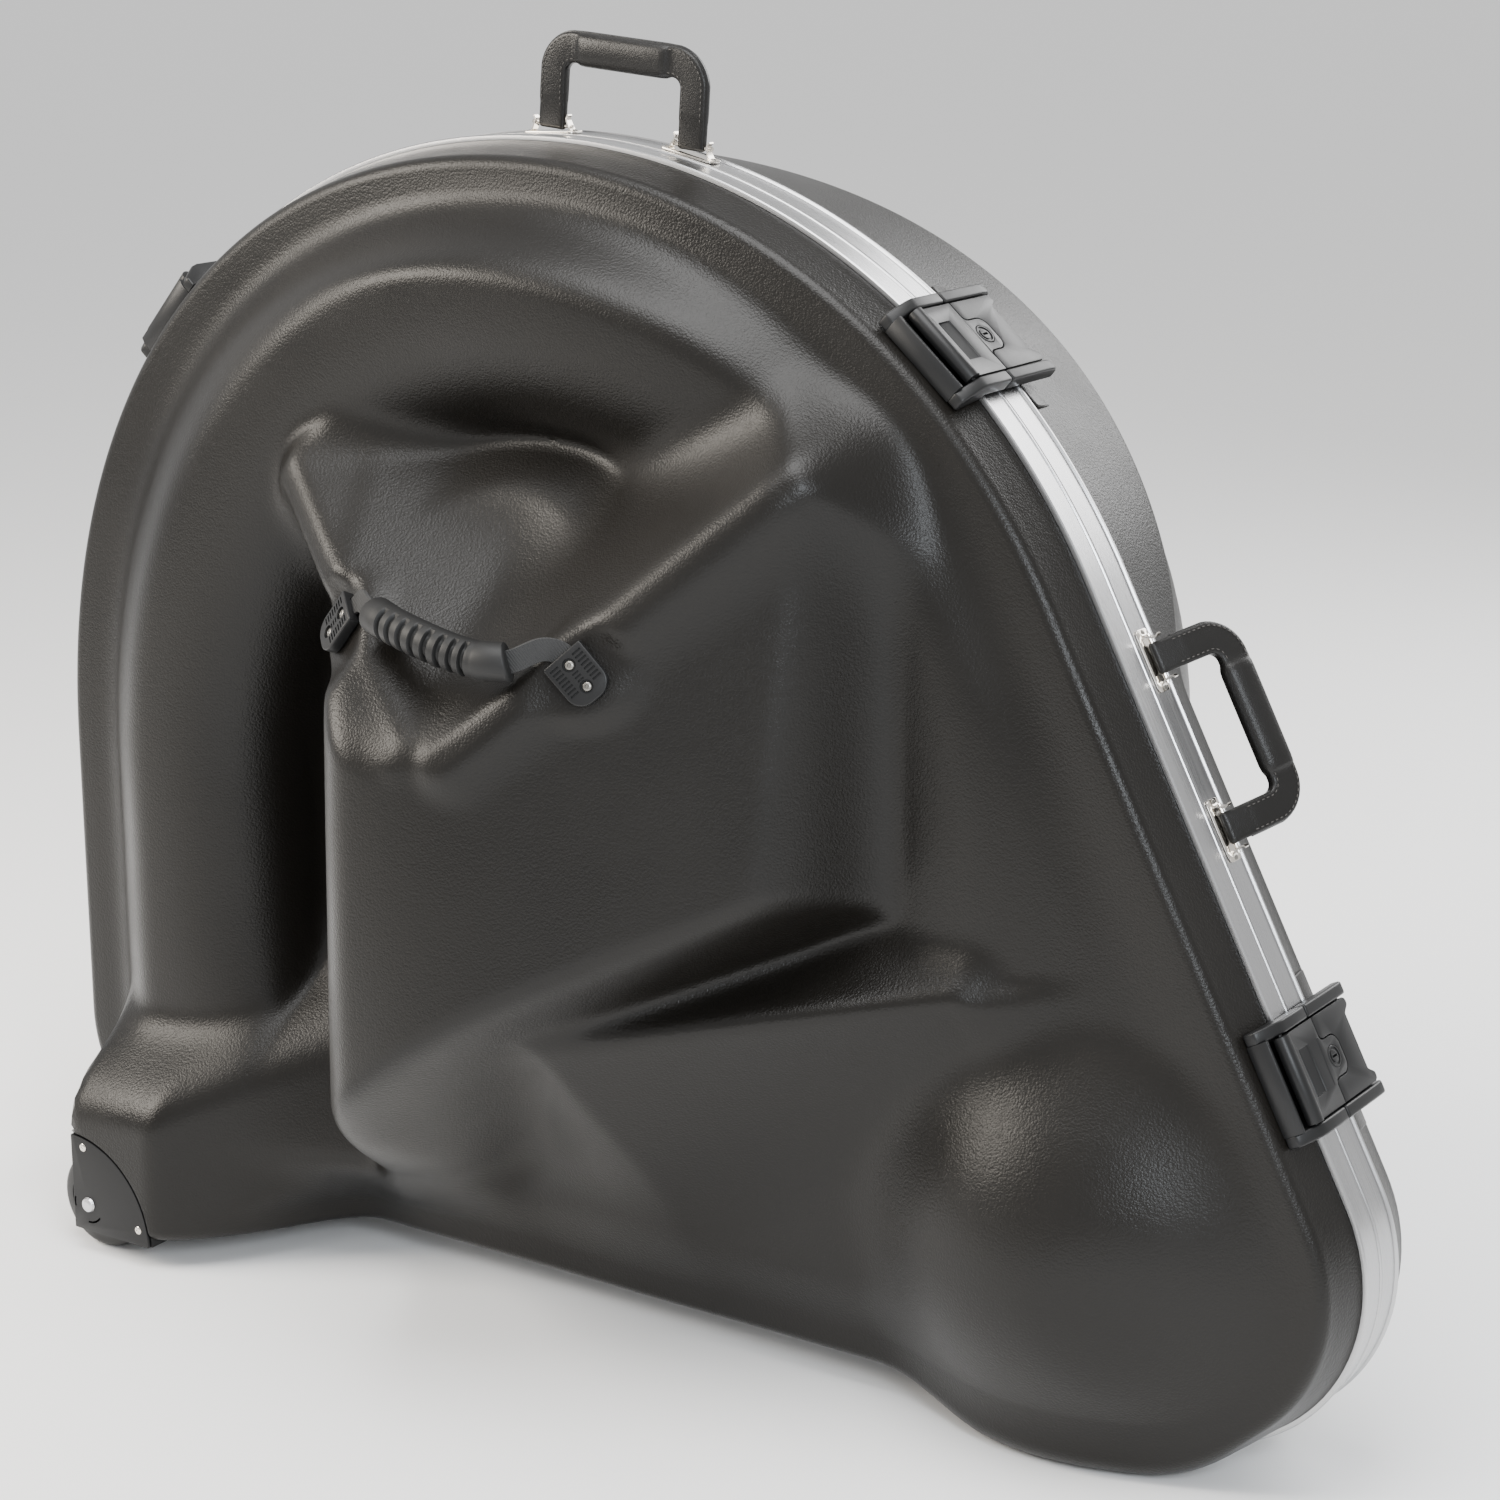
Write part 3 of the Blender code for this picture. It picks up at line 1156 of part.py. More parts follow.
def wheel_matrix(sign):
    """Wheel frame: Z along the axle, pointing away from the seam."""
    turn = Matrix.Rotation(math.pi / 2 if sign < 0 else -math.pi / 2, 4, "X")
    return Matrix.Translation((WHEEL_CENTRE[0], sign * WHEEL_PLANE, WHEEL_CENTRE[1])) @ turn


def build_wheel(prefix, sign, tyre, core, steel):
    frame = wheel_matrix(sign)
    half = WHEEL_WIDTH / 2
    crown = [(CORE_RADIUS, -half + 0.002), (WHEEL_RADIUS - 0.010, -half), (WHEEL_RADIUS - 0.0035, -half + 0.003),
             (WHEEL_RADIUS, -0.0035), (WHEEL_RADIUS, 0.0035), (WHEEL_RADIUS - 0.0035, half - 0.003),
             (WHEEL_RADIUS - 0.010, half), (CORE_RADIUS, half - 0.002)]
    bm = bmesh.new()
    revolve(bm, crown, WHEEL_SEGMENTS, Matrix.Identity(4))
    finish(prefix + "_tyre", bm, tyre, frame)
    bore = AXLE_RADIUS + FIT
    boss = 0.010
    web = 0.004
    rim_in = CORE_RADIUS - 0.0035
    out = CORE_RADIUS - FIT
    hub = [(bore, -HUB_LENGTH / 2), (boss, -HUB_LENGTH / 2), (boss, -web), (rim_in, -web), (rim_in, -half + 0.002),
           (out, -half + 0.002), (out, half - 0.002), (rim_in, half - 0.002), (rim_in, web), (boss, web),
           (boss, HUB_LENGTH / 2), (bore, HUB_LENGTH / 2)]
    bm = bmesh.new()
    revolve(bm, hub, 20, Matrix.Identity(4))
    finish(prefix + "_hub", bm, core, frame)
    outside = FOOT_DEPTH - WHEEL_PLANE
    inside_end = HOUSING_FLOOR - HOUSING_WALL - 0.002 - WHEEL_PLANE
    profile = [(0.0, inside_end), (AXLE_RADIUS, inside_end), (AXLE_RADIUS, outside + FIT),
               (AXLE_HEAD_RADIUS, outside + FIT), (AXLE_HEAD_RADIUS * 0.86, outside + FIT + AXLE_HEAD_HEIGHT * 0.6),
               (AXLE_HEAD_RADIUS * 0.5, outside + FIT + AXLE_HEAD_HEIGHT * 0.93)]
    bm = bmesh.new()
    segments = 16
    rows = []
    for r, h in profile[1:]:
        rows.append([Vector((r * math.cos(2 * math.pi * i / segments), r * math.sin(2 * math.pi * i / segments), h))
                     for i in range(segments)])
    loft(bm, rows)
    finish(prefix + "_axle", bm, steel, frame)


def quarter(radius, start_radius=0.0, steps=QUARTER_STEPS):
    """Points of a quarter round from the corner of the well, right side first."""
    outer = [(radius * math.cos(0.5 * math.pi * i / steps), radius * math.sin(0.5 * math.pi * i / steps))
             for i in range(steps + 1)]
    if start_radius <= 0.0:
        return [(0.0, 0.0)] + outer
    inner = [(start_radius * math.cos(0.5 * math.pi * i / steps), start_radius * math.sin(0.5 * math.pi * i / steps))
             for i in range(steps + 1)]
    return outer + list(reversed(inner))


def at_corner(points):
    return [(WELL_CORNER[0] + u, WELL_CORNER[1] + v) for u, v in points]


def axle_hole(sign, surface):
    bm = bmesh.new()
    rod(bm, AXLE_RADIUS + FIT, -0.10, 0.10, 16)
    return finish("axle_hole", bm, surface, wheel_matrix(sign))


def build_wheel_cover(prefix, sign, surface):
    """Quarter-round plate that closes the wheel well and carries the axle's outer end."""
    bm = bmesh.new()
    ends = sorted((sign * (FOOT_DEPTH - COVER_THICKNESS), sign * FOOT_DEPTH))
    prism(bm, at_corner(quarter(WELL_RADIUS - 0.0006)), ends[0], ends[1], axis="Y")
    cover = finish(prefix + "_wheel_cover", bm, surface)
    return carve(cover, [axle_hole(sign, surface)])


def build_housing(prefix, sign, surface):
    """Cup inside the foot: a quarter-round wall and an inner floor that holds the axle's other end."""
    bm = bmesh.new()
    radius = WELL_RADIUS - 0.0006
    floor = [sign * (HOUSING_FLOOR - HOUSING_WALL), sign * HOUSING_FLOOR]
    prism(bm, at_corner(quarter(radius)), min(floor), max(floor), axis="Y")
    housing = finish(prefix + "_wheel_housing", bm, surface)
    wall = bmesh.new()
    ends = sorted((sign * (HOUSING_FLOOR - HOUSING_WALL / 2), sign * (FOOT_DEPTH - COVER_THICKNESS - FIT)))
    prism(wall, at_corner(quarter(radius, radius - HOUSING_WALL)), ends[0], ends[1], axis="Y")
    carve(housing, [finish("well_wall", wall, surface)], "UNION")
    return carve(housing, [axle_hole(sign, surface)])


# Assembly

def centre_on_base():
    """Moves the case's frame so that the origin lies under the middle of the whole case."""
    bpy.context.view_layer.update()
    graph = bpy.context.evaluated_depsgraph_get()
    low, high = Vector((9.0, 9.0, 9.0)), Vector((-9.0, -9.0, -9.0))
    for thing in bpy.data.objects:
        if thing.type == "MESH":
            evaluated = thing.evaluated_get(graph)
            for vert in evaluated.data.vertices:
                point = evaluated.matrix_world @ vert.co
                low = Vector(map(min, low, point))
                high = Vector(map(max, high, point))
    frame = bpy.data.objects["case_frame"]
    frame.location = (-(low.x + high.x) / 2, -(low.y + high.y) / 2, 0.0)
    bpy.context.view_layer.update()


def main():
    for thing in list(bpy.data.objects):
        bpy.data.objects.remove(thing)
    frame = bpy.data.objects.new("case_frame", None)
    bpy.context.collection.objects.link(frame)

    grained = material("grained_abs", (0.022, 0.020, 0.018), 0.42)
    moulded = material("moulded_black", (0.020, 0.020, 0.021), 0.50)
    aluminium = material("brushed_aluminium", (0.72, 0.72, 0.72), 0.32, 1.0)
    nickel = material("nickel", (0.70, 0.66, 0.60), 0.22, 1.0)
    steel = material("steel", (0.62, 0.62, 0.62), 0.28, 1.0)
    leatherette = material("stitched_leatherette", (0.020, 0.019, 0.018), 0.45)
    rubber = material("grip_rubber", (0.024, 0.024, 0.024), 0.62)
    tread = material("wheel_tread", (0.030, 0.030, 0.030), 0.55)
    foam = material("plush_foam", (0.045, 0.045, 0.050), 0.95)

    for side, sign, depth_at, faces in (("front", -1, front_depth, FRONT_FORM_FACES),
                                        ("back", 1, back_depth, BACK_FORM_FACES)):
        shell = build_shell(side + "_shell", depth_at, sign, faces, grained)
        carve(shell, [wheel_well_cutter(sign)])
        build_valance(side + "_valance", sign, aluminium)
        build_rim_pad(side + "_rim_pad", sign, foam)
        build_wheel(side, sign, tread, moulded, steel)
        build_wheel_cover(side, sign, moulded)
        build_housing(side, sign, moulded)
        build_hinge_leaf(side + "_hinge_leaf", sign, steel)
    build_hinge_pin("hinge_pin", steel)
    for letter, spot in zip("abc", CRADLE_PLACES):
        build_cradle("foam_cradle_" + letter, spot, foam)

    build_latch("upper_right_latch", crown_point(math.radians(48.7)), moulded, steel)
    build_latch("lower_right_latch", slant_point(0.345), moulded, steel)
    build_latch("upper_left_latch", brow_point(math.radians(137.0)), moulded, steel)

    half = HANDLE_SPAN / 2
    top_angle = math.radians(85.5)
    rise = PIVOT_RISE - (half - STRAP_WIDTH / 2) ** 2 / (2.0 * CROWN_RADIUS)
    swing = math.atan(half / (CROWN_RADIUS + rise))
    build_carry_handle("top", crown_point(top_angle), (crown_point(top_angle + swing), crown_point(top_angle - swing)),
                       rise, 0.0, leatherette, nickel)
    side_at = 0.120
    build_carry_handle("side", slant_point(side_at), (slant_point(side_at - half), slant_point(side_at + half)),
                       PIVOT_RISE, SIDE_FOLD, leatherette, nickel)

    left = cap_frame(LEFT_CAP, LEFT_APEX, LEFT_HORN)
    right = cap_frame(RIGHT_CAP, RIGHT_APEX, RIGHT_HORN)
    build_flex_cap("flex_cap_left", left, moulded)
    build_flex_cap("flex_cap_right", right, moulded)
    build_flex_grip("flex_grip", left, right, rubber)
    build_webbing("flex_webbing", left, right, foam)
    centre_on_base()


main()
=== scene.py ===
"""Dressed visual model of a wheeled sousaphone case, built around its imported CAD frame."""

from __future__ import annotations

import json
import logging
import math
from dataclasses import dataclass, field
from enum import Enum
from typing import Iterable, Sequence

import bmesh
import bpy
import numpy as np
from mathutils import Matrix, Vector


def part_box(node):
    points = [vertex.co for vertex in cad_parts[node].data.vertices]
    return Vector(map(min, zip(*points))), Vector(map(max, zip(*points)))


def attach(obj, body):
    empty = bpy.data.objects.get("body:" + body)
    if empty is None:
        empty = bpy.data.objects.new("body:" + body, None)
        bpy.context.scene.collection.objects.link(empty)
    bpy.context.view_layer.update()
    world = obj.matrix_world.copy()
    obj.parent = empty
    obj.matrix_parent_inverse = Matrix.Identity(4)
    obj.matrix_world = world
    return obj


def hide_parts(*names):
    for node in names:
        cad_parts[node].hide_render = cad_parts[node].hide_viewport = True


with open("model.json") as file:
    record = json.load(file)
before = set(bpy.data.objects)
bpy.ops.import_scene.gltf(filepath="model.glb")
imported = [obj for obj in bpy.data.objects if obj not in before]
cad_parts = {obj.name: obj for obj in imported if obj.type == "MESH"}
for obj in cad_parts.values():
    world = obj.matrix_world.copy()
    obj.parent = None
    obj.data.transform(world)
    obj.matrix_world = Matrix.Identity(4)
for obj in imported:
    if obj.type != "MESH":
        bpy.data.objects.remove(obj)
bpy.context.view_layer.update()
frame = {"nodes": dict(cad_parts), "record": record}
LOG = logging.getLogger("sousaphone_case")

Point2 = tuple[float, float]
Seat = tuple[Point2, Point2]
Array = np.ndarray
Mesh = bmesh.types.BMesh
Piece = bpy.types.Object
FIT = 0.0003
SEAM_GAP = 0.0003


class Half(Enum):
    """The two halves of the case; the value is the side of the seam that each lies on."""

    FRONT = -1
    BACK = 1

    @property
    def word(self) -> str:
        """Name of the half as the CAD nodes spell it."""
        return self.name.lower()

    @property
    def body(self) -> str:
        """CAD body that the half belongs to."""
        return "lid" if self is Half.FRONT else "back_half"


def case_shift() -> Vector:
    """Shift from the seam's own coordinates to the row frame, read from the hinge pin."""
    low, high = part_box("hinge_pin")
    return Vector((low[0] - (HINGE_START_X - 0.001), (low[1] + high[1]) / 2, 0.0))


HINGE_START_X = -0.330
HINGE_END_X = 0.270
SHIFT = case_shift()


# Fields

def smooth_max(a: Array, b: Array, width: float) -> Array:
    """Larger of two fields, blended over a band.

    Args:
        a: First field.
        b: Second field.
        width: Width of the band in metres.

    Returns:
        The blended field.
    """
    h = np.clip(0.5 + 0.5 * (a - b) / width, 0.0, 1.0)
    return b + (a - b) * h + width * h * (1.0 - h)


def smooth_min(a: Array, b: Array, width: float) -> Array:
    """Smaller of two fields, blended over a band."""
    return -smooth_max(-a, -b, width)


def ramp(value: Array, low: float, high: float) -> Array:
    """Zero below low, one above high, with a smooth rise between."""
    t = np.clip((value - low) / (high - low), 0.0, 1.0)
    return t * t * (3.0 - 2.0 * t)


def tilted(x: Array, z: Array, at: Point2, depth: float, slope_x: float, slope_z: float) -> Array:
    """Depth of a plane through a point, rising by slope_x and slope_z."""
    return depth + slope_x * (x - at[0]) + slope_z * (z - at[1])


def along(x: Array, z: Array, start: Point2, end: Point2) -> tuple[Array, Array, Array, Array]:
    """Places points against a line.

    Args:
        x: Points' places along the case.
        z: Points' heights.
        start: Start of the line.
        end: End of the line.

    Returns:
        How far each point lies along it, the same held to its ends, the distance and the signed side.
    """
    dx, dz = end[0] - start[0], end[1] - start[1]
    t = ((x - start[0]) * dx + (z - start[1]) * dz) / (dx * dx + dz * dz)
    held = np.clip(t, 0.0, 1.0)
    distance = np.hypot(x - start[0] - held * dx, z - start[1] - held * dz)
    side = ((x - start[0]) * dz - (z - start[1]) * dx) / math.hypot(dx, dz)
    return t, held, distance, side


# Finishes

@dataclass(frozen=True)
class Finish:
    """A surface finish and how its pattern is scaled."""

    name: str
    slot: str
    colour: tuple[float, float, float]
    roughness: float
    metallic: float = 0.0
    grain: str = "none"
    grain_scale: float = 500.0
    bump: float = 0.0
    lighter: float = 1.0
    rough_spread: float = 0.0
    specular: float = 0.5
    sheen: float = 0.0


ABS = Finish(
    "leather_grain_abs", "grained_abs", (0.0046, 0.0040, 0.0033), 0.34, grain="hide",
    grain_scale=560.0, bump=0.00022, lighter=1.7, rough_spread=0.10, specular=0.26,
)
NYLON = Finish(
    "moulded_nylon", "moulded_black", (0.0070, 0.0070, 0.0072), 0.38, grain="fine", grain_scale=1500.0,
    bump=0.00005, lighter=1.3, rough_spread=0.08, specular=0.30,
)
ALUMINIUM = Finish(
    "brushed_aluminium_valance", "brushed_aluminium", (0.42, 0.42, 0.425), 0.28, 1.0, "brushed", 1.0,
    0.00002, 1.10, 0.12,
)
NICKEL = Finish(
    "polished_nickel", "nickel", (0.70, 0.66, 0.60), 0.16, 1.0, "fine", 900.0, 0.00001, 1.1, 0.10,
)
DULL_NICKEL = Finish(
    "dull_nickel_screw", "nickel", (0.24, 0.23, 0.21), 0.34, 1.0, "fine", 900.0, 0.00001, 1.1, 0.10,
)
STEEL = Finish(
    "plated_steel", "steel", (0.60, 0.60, 0.61), 0.27, 1.0, "fine", 1200.0, 0.00002, 1.1, 0.12,
)
LEATHERETTE = Finish(
    "stitched_hide", "stitched_leatherette", (0.0050, 0.0046, 0.0042), 0.34, grain="hide",
    grain_scale=900.0, bump=0.00014, lighter=1.6, rough_spread=0.12, specular=0.30,
)
THREAD = Finish(
    "stitching_thread", "stitched_leatherette", (0.040, 0.036, 0.032), 0.60, grain="fine",
    grain_scale=3000.0, bump=0.00004,
)
EDGE_PAINT = Finish(
    "painted_strap_edge", "stitched_leatherette", (0.008, 0.008, 0.008), 0.22, grain="fine",
    grain_scale=700.0, bump=0.00003, rough_spread=0.06,
)
RUBBER = Finish(
    "ribbed_rubber", "grip_rubber", (0.009, 0.009, 0.009), 0.50, grain="fine", grain_scale=1400.0,
    bump=0.00006, lighter=1.3, rough_spread=0.08, specular=0.30,
)
URETHANE = Finish(
    "wheel_urethane", "wheel_tread", (0.012, 0.012, 0.012), 0.42, grain="fine", grain_scale=900.0,
    bump=0.00004, lighter=1.4, rough_spread=0.10, specular=0.35,
)
PLUSH = Finish(
    "short_plush", "plush_foam", (0.030, 0.030, 0.034), 0.95, grain="plush", grain_scale=900.0,
    bump=0.00060, lighter=1.8, sheen=0.35,
)
WEBBING = Finish(
    "woven_webbing", "plush_foam", (0.014, 0.014, 0.014), 0.75, grain="woven", grain_scale=900.0,
    bump=0.00020, lighter=1.5,
)


class Paintbox:
    """Builds each finish's material once, from shared pattern groups."""

    def __init__(self) -> None:
        """Starts with no materials and no groups."""
        self.made: dict[str, bpy.types.Material] = {}
        self.groups: dict[str, bpy.types.NodeTree] = {}

    def group(self, kind: str) -> bpy.types.NodeTree:
        """Pattern group of a kind, with inputs Vector and Scale and outputs Height and Mask.

        Args:
            kind: One of hide, fine, brushed, plush and woven.

        Returns:
            The shader node group.
        """
        if kind in self.groups:
            return self.groups[kind]
        tree = bpy.data.node_groups.new("pattern_" + kind, "ShaderNodeTree")
        tree.interface.new_socket("Vector", in_out="INPUT", socket_type="NodeSocketVector")
        tree.interface.new_socket("Scale", in_out="INPUT", socket_type="NodeSocketFloat")
        tree.interface.new_socket("Height", in_out="OUTPUT", socket_type="NodeSocketFloat")
        tree.interface.new_socket("Mask", in_out="OUTPUT", socket_type="NodeSocketFloat")
        entry = tree.nodes.new("NodeGroupInput")
        leave = tree.nodes.new("NodeGroupOutput")
        vector, scale = entry.outputs["Vector"], entry.outputs["Scale"]
        build = {"hide": self.hide, "fine": self.fine, "brushed": self.brushed, "plush": self.plush,
                 "woven": self.woven}[kind]
        height, mask = build(tree, vector, scale)
        tree.links.new(height, leave.inputs["Height"])
        tree.links.new(mask, leave.inputs["Mask"])
        self.groups[kind] = tree
        return tree

    @staticmethod
    def noise(tree: bpy.types.NodeTree, vector, scale, detail: float, roughness: float = 0.5):
        """Noise texture whose scale may be a number or a socket."""
        node = tree.nodes.new("ShaderNodeTexNoise")
        node.inputs["Detail"].default_value = detail
        node.inputs["Roughness"].default_value = roughness
        tree.links.new(vector, node.inputs["Vector"])
        if isinstance(scale, float):
            node.inputs["Scale"].default_value = scale
        else:
            tree.links.new(scale, node.inputs["Scale"])
        return node.outputs["Fac"]

    @staticmethod
    def maths(tree: bpy.types.NodeTree, operation: str, first, second):
        """Math node over sockets or numbers."""
        node = tree.nodes.new("ShaderNodeMath")
        node.operation = operation
        for socket, value in zip(node.inputs, (first, second)):
            if isinstance(value, (int, float)):
                socket.default_value = value
            else:
                tree.links.new(value, socket)
        return node.outputs[0]

    @staticmethod
    def scaled(tree: bpy.types.NodeTree, vector, factors: Sequence[float]):
        """Vector multiplied by three factors."""
        node = tree.nodes.new("ShaderNodeVectorMath")
        node.operation = "MULTIPLY"
        node.inputs[1].default_value = factors
        tree.links.new(vector, node.inputs[0])
        return node.outputs[0]

    def hide(self, tree: bpy.types.NodeTree, vector, scale):
        """Leather grain: pebbles of two sizes with creases between them."""
        wobble = tree.nodes.new("ShaderNodeTexNoise")
        wobble.inputs["Scale"].default_value = 160.0
        tree.links.new(vector, wobble.inputs["Vector"])
        push = tree.nodes.new("ShaderNodeVectorMath")
        push.operation = "MULTIPLY_ADD"
        push.inputs[1].default_value = (0.0022, 0.0022, 0.0022)
        tree.links.new(wobble.outputs["Color"], push.inputs[0])
        tree.links.new(vector, push.inputs[2])
        cells = []
        for factor in (1.0, 2.3):
            node = tree.nodes.new("ShaderNodeTexVoronoi")
            node.feature = "F1"
            tree.links.new(push.outputs[0], node.inputs["Vector"])
            tree.links.new(self.maths(tree, "MULTIPLY", scale, factor), node.inputs["Scale"])
            cells.append(node.outputs["Distance"])
        both = self.maths(tree, "ADD", cells[0], self.maths(tree, "MULTIPLY", cells[1], 0.45))
        height = self.maths(tree, "SUBTRACT", 1.0, both)
        mask = self.noise(tree, vector, 9.0, 3.0)
        return height, mask

    def fine(self, tree: bpy.types.NodeTree, vector, scale):
        """Fine mould texture with broad changes of gloss."""
        return self.noise(tree, vector, scale, 3.0), self.noise(tree, vector, 26.0, 4.0)

    def brushed(self, tree: bpy.types.NodeTree, vector, scale):
        """Lines drawn along the extrusion, on the piece's own UV map."""
        stretched = self.scaled(tree, vector, (6.0, 2600.0, 1.0))
        lines = self.noise(tree, stretched, 1.0, 3.0, 0.7)
        broad = self.noise(tree, self.scaled(tree, vector, (4.0, 90.0, 1.0)), 1.0, 2.0)
        return lines, self.maths(tree, "ADD", self.maths(tree, "MULTIPLY", lines, 0.6),
                                 self.maths(tree, "MULTIPLY", broad, 0.4))

    def plush(self, tree: bpy.types.NodeTree, vector, scale):
        """Short pile that is brushed in broad patches."""
        return self.noise(tree, vector, scale, 4.0, 0.7), self.noise(tree, vector, 14.0, 3.0)

    def woven(self, tree: bpy.types.NodeTree, vector, scale):
        """Diagonal ribs of a flat webbing."""
        node = tree.nodes.new("ShaderNodeTexWave")
        node.bands_direction = "DIAGONAL"
        node.inputs["Scale"].default_value = 220.0
        node.inputs["Distortion"].default_value = 1.0
        tree.links.new(vector, node.inputs["Vector"])
        return node.outputs["Fac"], self.noise(tree, vector, scale, 2.0)

    def material(self, finish: Finish) -> bpy.types.Material:
        """Material of a finish.

        Args:
            finish: The finish to build.

        Returns:
            The material, built on its first use.
        """
        if finish.name in self.made:
            return self.made[finish.name]
        made = bpy.data.materials.new(finish.name)
        made.use_nodes = True
        tree = made.node_tree
        shader = tree.nodes["Principled BSDF"]
        shader.inputs["Base Color"].default_value = (*finish.colour, 1.0)
        shader.inputs["Roughness"].default_value = finish.roughness
        shader.inputs["Metallic"].default_value = finish.metallic
        shader.inputs["Specular IOR Level"].default_value = finish.specular
        shader.inputs["Sheen Weight"].default_value = finish.sheen
        made.diffuse_color = (*finish.colour, 1.0)
        if finish.grain != "none":
            self.patterned(tree, shader, finish)
        self.made[finish.name] = made
        return made

    def patterned(self, tree: bpy.types.NodeTree, shader: bpy.types.Node, finish: Finish) -> None:
        """Adds a finish's pattern to its colour, gloss and relief."""
        place = tree.nodes.new("ShaderNodeTexCoord")
        pattern = tree.nodes.new("ShaderNodeGroup")
        pattern.node_tree = self.group(finish.grain)
        pattern.inputs["Scale"].default_value = finish.grain_scale
        source = place.outputs["UV"] if finish.grain == "brushed" else place.outputs["Object"]
        tree.links.new(source, pattern.inputs["Vector"])
        blend = tree.nodes.new("ShaderNodeMix")
        blend.data_type = "RGBA"
        colours = [s for s in blend.inputs if s.type == "RGBA"]
        colours[0].default_value = (*finish.colour, 1.0)
        colours[1].default_value = (*(min(1.0, c * finish.lighter) for c in finish.colour), 1.0)
        tree.links.new(pattern.outputs["Mask"], blend.inputs[0])
        result = next(s for s in blend.outputs if s.type == "RGBA")
        tree.links.new(result, shader.inputs["Base Color"])
        if finish.rough_spread > 0.0:
            spread = tree.nodes.new("ShaderNodeMapRange")
            spread.inputs["From Min"].default_value = 0.3
            spread.inputs["From Max"].default_value = 0.7
            spread.inputs["To Min"].default_value = finish.roughness - finish.rough_spread / 2
            spread.inputs["To Max"].default_value = finish.roughness + finish.rough_spread / 2
            tree.links.new(pattern.outputs["Mask"], spread.inputs["Value"])
            tree.links.new(spread.outputs["Result"], shader.inputs["Roughness"])
        if finish.bump > 0.0:
            relief = tree.nodes.new("ShaderNodeBump")
            relief.inputs["Strength"].default_value = 0.8
            relief.inputs["Distance"].default_value = finish.bump
            tree.links.new(pattern.outputs["Height"], relief.inputs["Height"])
            tree.links.new(relief.outputs["Normal"], shader.inputs["Normal"])


PAINTS = Paintbox()


# Mesh helpers

def new_verts(bm: Mesh, points: Iterable[Sequence[float]]) -> list[bmesh.types.BMVert]:
    """Adds a few vertices to a bmesh."""
    return [bm.verts.new(p) for p in points]


def extruded(bm: Mesh, outline: Sequence[Sequence[float]], travel: Sequence[float]) -> list:
    """Makes a face from an outline of 3-D points and extrudes it.

    Args:
        bm: The mesh to add to.
        outline: Corners of the flat face.
        travel: How far and which way it is extruded.

    Returns:
        The new vertices.
    """
    start = new_verts(bm, outline)
    face = bm.faces.new(start)
    grown = bmesh.ops.extrude_face_region(bm, geom=[face])
    fresh = [g for g in grown["geom"] if isinstance(g, bmesh.types.BMVert)]
    bmesh.ops.translate(bm, verts=fresh, vec=travel)
    if not face.is_valid:
        bm.faces.new(list(reversed(start)))
    return start + fresh


def block(bm: Mesh, low: Sequence[float], high: Sequence[float]) -> list:
    """Adds a box between two corners."""
    size = [b - a for a, b in zip(low, high)]
    middle = [(a + b) / 2 for a, b in zip(low, high)]
    where = Matrix.Translation(middle) @ Matrix.Diagonal((*size, 1.0))
    made = bmesh.ops.create_cube(bm, size=1.0, matrix=where)
    return made["verts"]


def disc(bm: Mesh, radius: float, low: float, high: float, segments: int, place: Matrix,
         top_radius: float | None = None) -> list:
    """Adds a round bar or cone along the place's Z axis."""
    where = place @ Matrix.Translation((0.0, 0.0, (low + high) / 2))
    made = bmesh.ops.create_cone(bm, cap_ends=True, cap_tris=False, segments=segments, radius1=radius,
                                 radius2=radius if top_radius is None else top_radius, depth=high - low,
                                 matrix=where)
    return made["verts"]


def turned(bm: Mesh, profile: Sequence[Point2], steps: int, place: Matrix,
           closed: bool = False) -> None:
    """Spins a profile of radius and height round the place's Z axis."""
    verts = new_verts(bm, [place @ Vector((r, 0.0, h)) for r, h in profile])
    edges = [bm.edges.new(pair) for pair in zip(verts, verts[1:])]
    if closed:
        edges.append(bm.edges.new((verts[-1], verts[0])))
    axis = place.to_3x3() @ Vector((0.0, 0.0, 1.0))
    bmesh.ops.spin(bm, geom=verts + edges, cent=place.translation, axis=axis, angle=2.0 * math.pi,
                   steps=steps, use_merge=True)


def grow(bm: Mesh, ring: list, edges: list,
         places: Sequence[Sequence[float]]) -> tuple[list, list]:
    """Extrudes a row of edges to new places.

    Args:
        bm: The mesh.
        ring: Vertices of the row, in order.
        edges: Edges of the row.
        places: Where each vertex's copy goes.

    Returns:
        The new row's vertices and edges.
    """
    made = bmesh.ops.extrude_edge_only(bm, edges=edges)["geom"]
    fresh = {g for g in made if isinstance(g, bmesh.types.BMVert)}
    result = []
    for old, place in zip(ring, places):
        twin = next(e.other_vert(old) for e in old.link_edges if e.other_vert(old) in fresh)
        twin.co = place
        result.append(twin)
    kept = [g for g in made if isinstance(g, bmesh.types.BMEdge)
            and g.verts[0] in fresh and g.verts[1] in fresh]
    return result, kept


